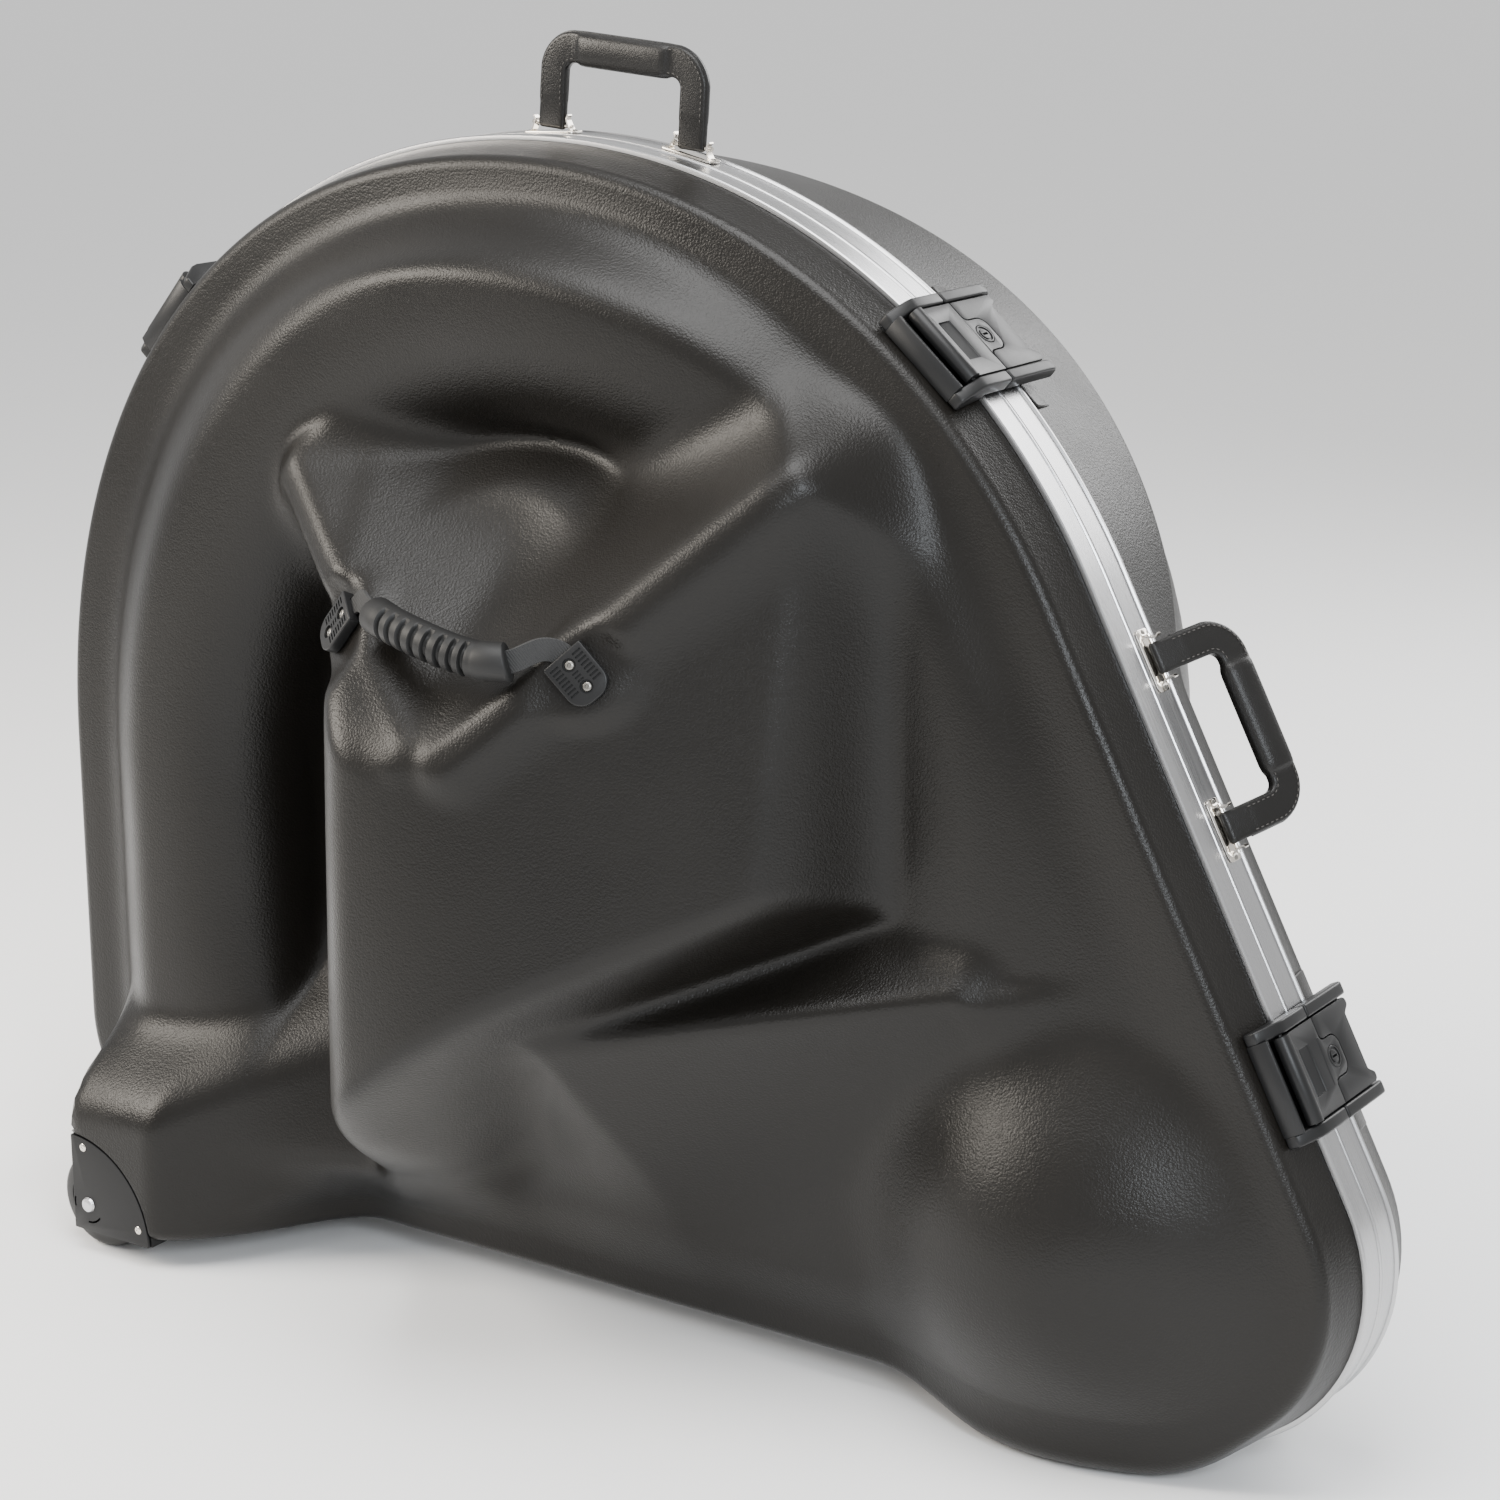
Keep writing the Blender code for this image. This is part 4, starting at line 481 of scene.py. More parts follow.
def swept(bm: Mesh, sections: Sequence[Sequence[Sequence[float]]],
          ring_closed: bool = False) -> list:
    """Sweeps closed sections of equal count by extruding the first through the others.

    Args:
        bm: The mesh to add to.
        sections: Closed loops of 3-D points.
        ring_closed: Whether the last section joins the first.

    Returns:
        The rows of vertices.
    """
    ring = new_verts(bm, sections[0])
    first = ring
    edges = [bm.edges.new((ring[i], ring[(i + 1) % len(ring)])) for i in range(len(ring))]
    rows = [ring]
    for section in sections[1:]:
        ring, edges = grow(bm, ring, edges, section)
        rows.append(ring)
    if ring_closed:
        ring, edges = grow(bm, ring, edges, [v.co.copy() for v in first])
        rows.append(ring)
    else:
        bm.faces.new(first)
        bm.faces.new(list(reversed(ring)))
    return rows


def rounded(bm: Mesh, width: float, segments: int = 2, angle: float = 35.0) -> None:
    """Bevels every edge that is sharper than an angle."""
    bmesh.ops.remove_doubles(bm, verts=bm.verts, dist=1e-6)
    bmesh.ops.recalc_face_normals(bm, faces=bm.faces)
    bm.normal_update()
    sharp = [e for e in bm.edges if len(e.link_faces) == 2 and e.calc_face_angle(0.0) > math.radians(angle)]
    bmesh.ops.bevel(bm, geom=sharp, offset=width, offset_type="OFFSET", segments=segments, profile=0.5,
                    affect="EDGES", clamp_overlap=True, material=-1)


def cut_away(target: Piece, cutters: Sequence[Piece],
             operation: str = "DIFFERENCE") -> None:
    """Applies exact Booleans to a piece and removes the cutters."""
    for cutter in cutters:
        step = target.modifiers.new(cutter.name, "BOOLEAN")
        step.operation = operation
        step.solver = "EXACT"
        step.object = cutter
    bake(target)
    for cutter in cutters:
        bpy.data.objects.remove(cutter)


def bake(target: Piece) -> None:
    """Applies a piece's modifiers to its mesh."""
    bpy.context.view_layer.update()
    evaluated = target.evaluated_get(bpy.context.evaluated_depsgraph_get())
    mesh = bpy.data.meshes.new_from_object(evaluated)
    target.modifiers.clear()
    target.data = mesh


def make(name: str, bm: Mesh, finish: Finish, place: Matrix | None = None, smooth: float = 38.0,
         shifted: bool = True) -> Piece:
    """Turns a bmesh into a piece at the origin with its place in its mesh.

    Args:
        name: Name of the piece.
        bm: The mesh, which is freed.
        finish: Finish to give it.
        place: Matrix that moves it into the seam's coordinates.
        smooth: Angle in degrees above which edges stay sharp.
        shifted: Whether the seam's shift to the row frame is added.

    Returns:
        The new object.
    """
    bmesh.ops.remove_doubles(bm, verts=bm.verts, dist=1e-6)
    bmesh.ops.recalc_face_normals(bm, faces=bm.faces)
    if place is not None:
        bmesh.ops.transform(bm, matrix=place, verts=bm.verts)
    if shifted:
        bmesh.ops.translate(bm, verts=bm.verts, vec=SHIFT)
    mesh = bpy.data.meshes.new(name)
    bm.to_mesh(mesh)
    bm.free()
    mesh.materials.append(PAINTS.material(finish))
    mesh.shade_smooth()
    mesh.set_sharp_from_angle(angle=math.radians(smooth))
    made = bpy.data.objects.new(name, mesh)
    bpy.context.collection.objects.link(made)
    return made


def fit_piece(piece: Piece, body: str, finish: Finish, *nodes: str) -> None:
    """Puts a piece on its body and hides the CAD nodes that it stands for."""
    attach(piece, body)
    if nodes:
        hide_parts(*nodes)
    LOG.info("piece %s on %s", piece.name, body)


# Outline of the seam

@dataclass(frozen=True)
class Outline:
    """Outline of the case at the seam, seen from the front."""

    crown_x: float = -0.120
    crown_z: float = 0.367
    crown_radius: float = 0.494
    left_x: float = -0.580
    crown_power: float = 2.15
    base_z: float = 0.016
    slant: float = math.radians(27.5)
    toe_radius: float = 0.131
    heel_radius: float = 0.124

    def toe_centre(self) -> Point2:
        """Centre of the lower right corner's arc."""
        nx, nz = math.cos(self.slant), math.sin(self.slant)
        z = self.base_z + self.toe_radius
        return self.crown_x + (self.crown_radius - self.toe_radius - nz * (z - self.crown_z)) / nx, z

    def slant_point(self, distance: float) -> Seat:
        """Point and normal on the slanted side, measured down from the crown."""
        nx, nz = math.cos(self.slant), math.sin(self.slant)
        return ((self.crown_x + self.crown_radius * nx + distance * nz,
                 self.crown_z + self.crown_radius * nz - distance * nx), (nx, nz))

    def crown_point(self, angle: float) -> Seat:
        """Point and normal on the crown's arc."""
        n = (math.cos(angle), math.sin(angle))
        return (self.crown_x + self.crown_radius * n[0], self.crown_z + self.crown_radius * n[1]), n

    def brow_point(self, angle: float) -> Seat:
        """Point and normal on the fuller upper left quarter."""
        half = self.crown_x - self.left_x
        power = 2.0 / self.crown_power
        u, v = abs(math.cos(angle)) ** power, abs(math.sin(angle)) ** power
        nx = -(u ** (self.crown_power - 1.0)) / half
        nz = v ** (self.crown_power - 1.0) / self.crown_radius
        length = math.hypot(nx, nz)
        return (self.crown_x - half * u, self.crown_z + self.crown_radius * v), (nx / length, nz / length)

    def stations(self, spacing: float) -> list[Seat]:
        """Points and normals round the outline, anticlockwise from the bottom of the toe.

        Args:
            spacing: Rough distance between neighbours.

        Returns:
            The stations in order.
        """
        made: list[Seat] = []
        tx, tz = self.toe_centre()
        hx, hz = self.left_x + self.heel_radius, self.base_z + self.heel_radius

        def arc(x: float, z: float, radius: float, start: float, end: float) -> None:
            steps = max(3, round(radius * (end - start) / spacing))
            for i in range(steps):
                a = start + (end - start) * i / steps
                n = (math.cos(a), math.sin(a))
                made.append(((x + radius * n[0], z + radius * n[1]), n))

        def straight(start: Point2, end: Point2, normal: Point2) -> None:
            steps = max(1, round(math.dist(start, end) / spacing))
            for i in range(steps):
                t = i / steps
                spot = (start[0] + (end[0] - start[0]) * t, start[1] + (end[1] - start[1]) * t)
                made.append((spot, normal))

        arc(tx, tz, self.toe_radius, -math.pi / 2, self.slant)
        n = (math.cos(self.slant), math.sin(self.slant))
        toe_top = (tx + self.toe_radius * n[0], tz + self.toe_radius * n[1])
        straight(toe_top, self.crown_point(self.slant)[0], n)
        arc(self.crown_x, self.crown_z, self.crown_radius, self.slant, math.pi / 2)
        steps = round(0.76 / spacing)
        for i in range(steps):
            made.append(self.brow_point(math.pi / 2 + math.pi / 2 * i / steps))
        straight((self.left_x, self.crown_z), (self.left_x, hz), (-1.0, 0.0))
        arc(hx, hz, self.heel_radius, math.pi, 1.5 * math.pi)
        straight((hx, self.base_z), (tx, self.base_z), (0.0, -1.0))
        return made

    def inset_distance(self, x: Array, z: Array) -> Array:
        """Distance of each point from the outline, inside it."""
        loop = np.array([p for p, _ in self.stations(0.012)])
        step = np.roll(loop, -1, axis=0) - loop
        best = np.full(np.shape(x), 9.0)
        for (ax, az), (dx, dz) in zip(loop, step):
            t = np.clip(((x - ax) * dx + (z - az) * dz) / (dx * dx + dz * dz), 0.0, 1.0)
            best = np.minimum(best, (x - ax - t * dx) ** 2 + (z - az - t * dz) ** 2)
        return np.sqrt(best)


OUTLINE = Outline()


def seat_frame(place: Seat) -> Matrix:
    """Matrix at an outline point: X along the outline, Y across the seam, Z outwards."""
    (x, z), (nx, nz) = place
    return Matrix(((nz, 0.0, nx, x), (0.0, 1.0, 0.0, 0.0), (-nx, 0.0, nz, z), (0.0, 0.0, 0.0, 1.0)))


# Drawn forms of the shells

@dataclass(frozen=True)
class CapSeat:
    """Flat seat of a flex handle cap on the front shell."""

    at: Point2
    depth: float
    slope: Point2
    ridge_start: Point2
    ridge_end: Point2
    flat_radius: float = 0.022
    blend_radius: float = 0.040


@dataclass(frozen=True)
class DrawnForm:
    """What both shells share: the corner foot, the ball bulge and the rim."""

    rim_depth: float = 0.066
    foot_depth: float = 0.195
    foot_left_x: float = -0.472
    foot_right_x: float = -0.362
    foot_top: Point2 = (-0.450, 0.138)
    ball_centre: Point2 = (0.330, 0.150)
    ball_radius: float = 0.150
    ball_rise: float = 0.074
    kite_edge: Point2 = (0.385, 0.200)

    def foot(self, x: Array, z: Array) -> Array:
        """Foot arm that reaches out to the wheel at the lower left."""
        front = self.foot_depth - 0.85 * np.maximum(0.0, x - self.foot_right_x + 0.022)
        left = tilted(x, z, (self.foot_left_x, 0.0), self.foot_depth, 7.0, 0.0)
        top = tilted(x, z, self.foot_top, 0.190, 0.10, -2.0)
        side = along(x, z, (self.foot_right_x - 0.006, OUTLINE.base_z), (-0.280, 0.105))[3]
        foot = smooth_min(front, left, 0.008)
        foot = smooth_min(foot, top, 0.06)
        return smooth_min(foot, 0.17 - 2.6 * side, 0.03)

    def ball(self, x: Array, z: Array) -> Array:
        """Rounded bulge over the instrument's bow at the lower right."""
        reach = np.hypot(x - self.ball_centre[0], z - self.ball_centre[1]) / self.ball_radius
        dome = self.rim_depth + self.ball_rise * (1.0 - reach ** 2)
        facet = tilted(x, z, self.kite_edge, self.rim_depth + self.ball_rise, -0.55, 0.10)
        return smooth_min(dome, facet, 0.02)

    def depth(self, x: Array, z: Array) -> Array:
        """Depth of the form over the seam plane."""
        raise NotImplementedError


@dataclass(frozen=True)
class FrontForm(DrawnForm):
    """Front shell: coil ring, arch recess, belly with its V, pocket, arm, ball and foot."""

    arch_centre: Point2 = (-0.085, 0.370)
    arch_half_width: float = 0.348
    arch_half_height: float = 0.415
    arch_floor_share: float = 0.69
    ring_depth: float = 0.132
    ring_faded_depth: float = 0.084
    recess_depth: float = 0.042
    hub_centre: Point2 = (-0.082, 0.535)
    hub_radius: float = 0.098
    hub_depth: float = 0.108
    belly_depth: float = 0.292
    apex_depth: float = 0.268
    left_apex: Point2 = (-0.064, 0.482)
    left_horn: Point2 = (-0.266, 0.634)
    right_apex: Point2 = (-0.030, 0.478)
    right_horn: Point2 = (0.172, 0.672)
    horn_drop: float = 0.122
    horn_end_fall: float = 0.60
    flank_x: float = -0.138
    facet_edge_x: float = 0.172
    belly_foot: Point2 = (-0.133, 0.190)
    pocket_start: Point2 = (0.020, 0.294)
    pocket_end: Point2 = (0.170, 0.378)
    arm_start: Point2 = (0.000, 0.266)
    arm_end: Point2 = (0.266, 0.324)
    arm_depth: float = 0.205
    arm_drop: float = 0.104
    seats: tuple[CapSeat, ...] = (
        CapSeat((-0.1575, 0.5430), 0.2113, (0.56, -0.50), (-0.064, 0.482), (-0.266, 0.634)),
        CapSeat((0.0520, 0.5390), 0.2207, (-0.50, -0.30), (-0.030, 0.478), (0.172, 0.672)),
    )

    def coil(self, x: Array, z: Array, edge: Array) -> Array:
        """Rim, raised coil ring and the arch-shaped recess inside it."""
        across = (x - self.arch_centre[0]) / self.arch_half_width
        up = np.maximum(0.0, z - self.arch_centre[1]) / self.arch_half_height
        arch = np.hypot(across, up)
        bearing = np.arctan2(z - self.arch_centre[1], x - self.arch_centre[0])
        fade = np.where(z > self.arch_centre[1], ramp(bearing, 0.55, 1.7), 1.0 - ramp(across, -0.7, 0.0))
        crest = self.ring_faded_depth + (self.ring_depth - self.ring_faded_depth) * fade
        outside = np.maximum(0.0, arch - 1.0) * self.arch_half_width
        share = edge / np.maximum(1e-6, edge + outside)
        rise = ramp(share, 0.25, 1.0) * ramp(edge, 0.022, 0.085)
        ring = self.rim_depth + (crest - self.rim_depth) * rise
        tube = np.clip((1.0 - arch) / (1.0 - self.arch_floor_share), 0.0, 1.0)
        recess = self.recess_depth + (ring - self.recess_depth) * np.sqrt(1.0 - tube ** 2.4)
        left_end = ramp(z, 0.08, 0.30)
        right_end = ramp(z, 0.27, 0.37)
        middle = self.arch_centre[0]
        sill = left_end + (right_end - left_end) * ramp(x, middle - 0.05, middle + 0.05)
        form = ring + (recess - ring) * sill
        away = np.hypot(x - self.hub_centre[0], z - self.hub_centre[1])
        dome = self.hub_depth + 0.012 * (1.0 - np.minimum(1.0, away / self.hub_radius) ** 2)
        return smooth_max(form, dome - 1.5 * np.maximum(0.0, away - self.hub_radius), 0.022)

    def belly(self, x: Array, z: Array) -> Array:
        """Belly with its V-shaped brow, horns, right facet and pocket."""
        front = tilted(x, z, (-0.05, 0.0), self.belly_depth + 0.006, 0.16, 0.0)
        facet = tilted(x, z, (-0.04, 0.47), self.apex_depth + 0.010, -0.58, -0.10)
        steep = tilted(x, z, (self.flank_x, 0.35), 0.290, 2.4, -0.05)
        bottom = tilted(x, z, self.belly_foot, 0.264, -0.40, 1.8)
        right = tilted(x, z, (self.facet_edge_x, 0.45), 0.150, -2.6, 0.0)
        mound = smooth_min(front, facet, 0.06)
        mound = smooth_min(mound, steep, 0.10)
        mound = smooth_min(mound, bottom, 0.05)
        mound = smooth_min(mound, right, 0.03)
        t, _, _, side = along(x, z, self.pocket_start, self.pocket_end)
        mound = smooth_min(mound, 0.215 - 0.075 * t - 2.4 * side, 0.02)
        t1, held1, away1, side1 = along(x, z, self.left_apex, self.left_horn)
        t2, held2, away2, side2 = along(x, z, self.right_apex, self.right_horn)
        left_wall = self.apex_depth + 0.007 - self.horn_drop * t1 - 1.5 * side1
        right_wall = self.apex_depth + 0.007 - self.horn_drop * t2 + 1.5 * side2
        mound = smooth_min(mound, smooth_max(left_wall, right_wall, 0.05), 0.03)
        tip = self.apex_depth - self.horn_drop
        mound = smooth_min(mound, tip + 0.006 - 1.2 * (t2 - 0.95), 0.03)
        for t, held, away, fall in ((t1, held1, away1, 1.3), (t2, held2, away2, 1.3)):
            horn = self.apex_depth - self.horn_drop * held - fall * np.maximum(0.0, away - 0.010)
            mound = smooth_max(mound, horn - self.horn_end_fall * np.maximum(0.0, t - 1.0), 0.03)
        return mound

    def arm(self, x: Array, z: Array) -> Array:
        """Ridge that runs from the belly to the right, below the pocket."""
        _, held, away, side = along(x, z, self.arm_start, self.arm_end)
        fall = np.where(side < 0.0, 1.6, 0.75)
        return self.arm_depth - self.arm_drop * held - fall * np.maximum(0.0, away - 0.004)

    def depth(self, x: Array, z: Array) -> Array:
        """Depth of the front shell."""
        depth = self.coil(x, z, OUTLINE.inset_distance(x, z))
        depth = smooth_max(depth, self.belly(x, z), 0.045)
        depth = smooth_max(depth, self.arm(x, z), 0.04)
        depth = smooth_max(depth, self.ball(x, z), 0.03)
        depth = smooth_max(depth, self.foot(x, z), 0.045)
        for seat in self.seats:
            reach = np.hypot(x - seat.at[0], z - seat.at[1])
            weight = 1.0 - ramp(reach, seat.flat_radius, seat.blend_radius)
            depth = depth + (tilted(x, z, seat.at, seat.depth, *seat.slope) - depth) * weight
        return depth


@dataclass(frozen=True)
class BackForm(DrawnForm):
    """Back shell: rim, the round bulge over the bell with a shallow dish, ball and foot."""

    rim_depth: float = 0.062
    crown_depth: float = 0.187
    dish_depth: float = 0.165
    bell_centre: Point2 = (-0.050, 0.452)
    dish_radius: float = 0.120
    crown_start: float = 0.155
    crown_end: float = 0.318
    bell_radius: float = 0.368

    def depth(self, x: Array, z: Array) -> Array:
        """Depth of the back shell."""
        edge = OUTLINE.inset_distance(x, z)
        reach = np.hypot(x - self.bell_centre[0], z - self.bell_centre[1])
        rise = (self.crown_depth - self.dish_depth) * ramp(reach, self.dish_radius, self.crown_start)
        shoulder = self.crown_depth - 0.5 * np.maximum(0.0, reach - self.crown_end)
        flank = self.rim_depth + 3.0 * (self.bell_radius - reach) + 0.060
        bulge = smooth_min(np.minimum(self.dish_depth + rise, shoulder), flank, 0.02)
        depth = smooth_max(np.full_like(reach, self.rim_depth), bulge, 0.02)
        depth = np.where(edge < 0.02, np.minimum(depth, self.rim_depth + 4.0 * edge), depth)
        depth = smooth_max(depth, self.ball(x, z), 0.03)
        return smooth_max(depth, self.foot(x, z), 0.025)


@dataclass
class Shell:
    """One deep-drawn shell with its plush lining."""

    half: Half
    form: DrawnForm
    wall: float = 0.0040
    draft: float = 0.0070
    edge_radius: float = 0.0100
    valance_width: float = 0.0255
    valance_wall: float = 0.0020
    pad_start_x: float = 0.290
    pad_end_x: float = 0.385
    pad_blend: float = 0.110
    centre: Point2 = (-0.040, 0.420)
    spacing: float = 0.0085
    rows: int = 92
    well_corner: Point2 = (-0.468, 0.018)
    well_radius: float = 0.0790
    housing_floor: float = 0.1550
    housing_wall: float = 0.0025
    lining_gap: float = 0.0060
    lining_thickness: float = 0.0040
    averaged: float = 0.0056

    def pad_weight(self, x: float, z: float) -> float:
        """One over the standing pad, fading to zero to either side."""
        low = ramp(x, self.pad_start_x - self.pad_blend, self.pad_start_x)
        high = 1.0 - ramp(x, self.pad_end_x + 0.012, self.pad_end_x + self.pad_blend)
        return float(low * high * (1.0 - ramp(z, OUTLINE.base_z + 0.01, OUTLINE.base_z + 0.06)))

    def wall_rows(self, steps: int) -> list[tuple[str, float, float]]:
        """Rows of the side wall: kind, share, and how much of the standing pad reaches it."""
        rows = [("hem", 0.0, 0.0), ("lip", 0.0, 0.0), ("wall", 0.08, 0.5)]
        rows += [("wall", share, 1.0) for share in (0.25, 0.5, 0.75)]
        for i in range(steps + 1):
            rows.append(("edge", i / steps, 0.80 - 0.50 * i / steps))
        return rows

    def mean_depth(self, places: Array) -> Array:
        """Depth of the form, averaged over a few millimetres so that steep steps stay even."""
        total = 2.0 * self.form.depth(places[:, 0], places[:, 1])
        for turn in range(6):
            angle = math.pi * turn / 3
            shift = self.averaged * np.array([math.cos(angle), math.sin(angle)])
            total += self.form.depth(places[:, 0] + shift[0], places[:, 1] + shift[1])
        return total / 8.0

    def surface(self, spacing: float, rows: int, edge_steps: int) -> Mesh:
        """Outer surface, extruded row by row from the hem to the middle of the form.

        Args:
            spacing: Distance between stations along the outline.
            rows: Rows between the rim edge and the middle.
            edge_steps: Rows round the rim edge.

        Returns:
            The open surface in the seam's coordinates.
        """
        sign = self.half.value
        stations = OUTLINE.stations(spacing)
        points = np.array([p for p, _ in stations])
        normals = np.array([n for _, n in stations])
        inner = points - 0.022 * normals
        ends = self.form.depth(inner[:, 0], inner[:, 1])
        pads = np.array([self.pad_weight(*p) for p in points])
        bm = bmesh.new()
        ring: list = []
        edges: list = []

        def add(places: Array, depths: Array) -> None:
            nonlocal ring, edges
            spots = [(float(p[0]), sign * float(d), float(p[1])) for p, d in zip(places, depths)]
            if not ring:
                ring = new_verts(bm, spots)
                edges = [bm.edges.new((ring[i], ring[(i + 1) % len(ring)])) for i in range(len(ring))]
            else:
                ring, edges = grow(bm, ring, edges, spots)

        for kind, share, lift in self.wall_rows(edge_steps):
            turn = 0.5 * math.pi * share
            if kind == "hem":
                inset, depths = FIT, np.full(len(stations), SEAM_GAP + self.valance_wall + FIT)
            elif kind == "lip":
                inset, depths = FIT, np.full(len(stations), self.valance_width + 0.001)
            elif kind == "wall":
                inset = FIT + self.draft * share
                depths = self.valance_width + share * (ends - self.edge_radius - self.valance_width)
            else:
                inset = FIT + self.draft + self.edge_radius * (1.0 - math.cos(turn))
                depths = ends - self.edge_radius + self.edge_radius * math.sin(turn)
            out = -inset + (inset + OUTLINE.base_z) * lift * pads
            add(points + normals * out[:, None], depths)
        loop = points - 0.030 * normals
        centre = np.array(self.centre)
        for i in range(rows):
            share = (i / rows) ** 0.94
            places = loop + (centre - loop) * share
            add(places, self.mean_depth(places))
        middle = float(self.form.depth(np.array([centre[0]]), np.array([centre[1]]))[0])
        add(np.repeat(centre[None], len(stations), axis=0), np.full(len(stations), middle))
        bmesh.ops.remove_doubles(bm, verts=ring, dist=1e-5)
        return bm

    def build(self) -> None:
        """Builds the shell and its lining, and cuts the wheel well."""
        coarse = 1.0
        shell = self.solid(self.half.word + "_drawn_shell", self.surface(self.spacing * coarse,
                           round(self.rows / coarse), 6), self.wall, ABS)
        cut_away(shell, [self.well_cutter()])
        shell.data.shade_smooth()
        shell.data.set_sharp_from_angle(angle=math.radians(50.0))
        fit_piece(shell, self.half.body, ABS, self.half.word + "_shell")
        lining = self.lining()
        fit_piece(lining, self.half.body, PLUSH, self.half.word + "_rim_pad")

    def solid(self, name: str, bm: Mesh, thickness: float, finish: Finish) -> Piece:
        """Gives an open surface its thickness on the side of the seam."""
        bmesh.ops.recalc_face_normals(bm, faces=bm.faces)
        bm.normal_update()
        outward = sum(f.normal.y * f.calc_area() for f in bm.faces) * self.half.value
        if outward < 0.0:
            bmesh.ops.reverse_faces(bm, faces=bm.faces)
        bmesh.ops.translate(bm, verts=bm.verts, vec=SHIFT)
        mesh = bpy.data.meshes.new(name)
        bm.to_mesh(mesh)
        bm.free()
        mesh.materials.append(PAINTS.material(finish))
        mesh.shade_smooth()
        made = bpy.data.objects.new(name, mesh)
        bpy.context.collection.objects.link(made)
        wall = made.modifiers.new("wall", "SOLIDIFY")
        wall.thickness = thickness
        wall.offset = -1.0
        bake(made)
        return made

    def well_cutter(self) -> Piece:
        """Round cutter over the foot's lower corner."""
        sign = self.half.value
        bm = bmesh.new()
        turn = Matrix.Translation((self.well_corner[0], 0.0, self.well_corner[1]))
        turn = turn @ Matrix.Rotation(-math.pi / 2, 4, "X")
        behind = sign * (self.housing_floor - self.housing_wall - FIT)
        beyond = sign * (self.form.foot_depth + 0.05)
        disc(bm, self.well_radius + FIT, min(behind, beyond), max(behind, beyond), 96, turn)
        return make("well_cutter", bm, ABS)

    def lining(self) -> Piece:
        """Plush lining that follows the inside of the shell, clear of the wheel housing."""
        sign = self.half.value
        bm = self.surface(0.014, 52, 4)
        drop = [v for v in bm.verts if abs(v.co.y) < self.valance_width]
        bmesh.ops.delete(bm, geom=drop, context="VERTS")
        bmesh.ops.recalc_face_normals(bm, faces=bm.faces)
        bm.normal_update()
        outward = sum(f.normal.y * f.calc_area() for f in bm.faces) * sign
        flip = -1.0 if outward < 0.0 else 1.0
        offset = self.wall + self.lining_gap
        for vert in bm.verts:
            vert.co -= vert.normal * flip * offset
            reach = math.hypot(vert.co.x - self.well_corner[0], vert.co.z - self.well_corner[1])
            limit = self.housing_floor - self.housing_wall - 0.008
            limit = limit + max(0.0, reach - self.well_radius - 0.006) * 1.5
            vert.co.y = sign * min(abs(vert.co.y), limit)
        return self.solid(self.half.word + "_plush_lining", bm, self.lining_thickness, PLUSH)


# Valance

@dataclass
class Valance:
    """Aluminium extrusion that holds one shell's edge."""

    half: Half
    width: float = 0.0255
    wall: float = 0.0020
    bead_height: float = 0.0016
    seam_bead: float = 0.0007
    channel: float = 0.0140
    shell_wall: float = 0.0040
    spacing: float = 0.009

    def profile(self) -> list[Point2]:
        """Section of outward distance and distance from the seam."""
        start = SEAM_GAP / 2
        inner = -(FIT + self.shell_wall + FIT)
        web = SEAM_GAP + self.wall
        leaf = self.wall * 0.75
        crest = self.wall + self.seam_bead
        bead = self.wall + self.bead_height
        w = self.width
        return [
            (self.wall - 0.0004, start), (crest, start + 0.0005), (crest, start + 0.0016),
            (self.wall, start + 0.0022), (self.wall, w - 0.0040), (self.wall + 0.0004, w - 0.0034),
            (bead, w - 0.0026), (bead, w - 0.0012),
            (bead - 0.0007, w - 0.0002), (self.wall - 0.0006, w), (0.0, w), (0.0, web), (inner, web),
            (inner, self.channel), (inner - leaf, self.channel), (inner - leaf, start),
        ]

    def build(self) -> None:
        """Sweeps the profile round the outline with a UV map that runs along it."""
        bm = bmesh.new()
        stations = OUTLINE.stations(self.spacing * (1.0))
        profile = [(u, self.half.value * y) for u, y in self.profile()]
        sections = [[(x + nx * u, y, z + nz * u) for u, y in profile] for (x, z), (nx, nz) in stations]
        run = bm.verts.layers.float.new("run")
        across = bm.verts.layers.float.new("across")
        layer = bm.loops.layers.uv.new("along_extrusion")
        rows = swept(bm, sections, ring_closed=True)
        total, lengths = 0.0, [0.0]
        for (a, _), (b, _) in zip(stations, stations[1:] + stations[:1]):
            total += math.dist(a, b)
            lengths.append(total)
        reach = [0.0]
        for a, b in zip(profile, profile[1:]):
            reach.append(reach[-1] + math.dist(a, b))
        for row, length in zip(rows, lengths):
            for vert, side in zip(row, reach):
                vert[run] = length
                vert[across] = side
        for face in bm.faces:
            for loop in face.loops:
                loop[layer].uv = (loop.vert[run], loop.vert[across])
        piece = make(self.half.word + "_valance_extrusion", bm, ALUMINIUM, smooth=28.0)
        fit_piece(piece, self.half.body, ALUMINIUM, self.half.word + "_valance")


# Fasteners

def screw(bm: Mesh, place: Matrix, radius: float, height: float, cross: bool = True) -> None:
    """Adds a low domed screw head with a cross recess, its base at the place's origin."""
    profile = [(radius, 0.0), (radius, height * 0.35), (radius * 0.80, height * 0.85),
               (radius * 0.45, height)]
    if cross:
        profile += [(radius * 0.40, height), (radius * 0.30, height * 0.35), (0.0, height * 0.30)]
    else:
        profile.append((0.0, height * 1.02))
    turned(bm, profile, 20, place)


def rivets(name: str, places: Sequence[Matrix], radius: float, height: float, finish: Finish, body: str,
           cross: bool) -> None:
    """Makes one piece of several equal heads."""
    bm = bmesh.new()
    for place in places:
        screw(bm, place, radius, height, cross)
    fit_piece(make(name, bm, finish), body, finish)


# Latches

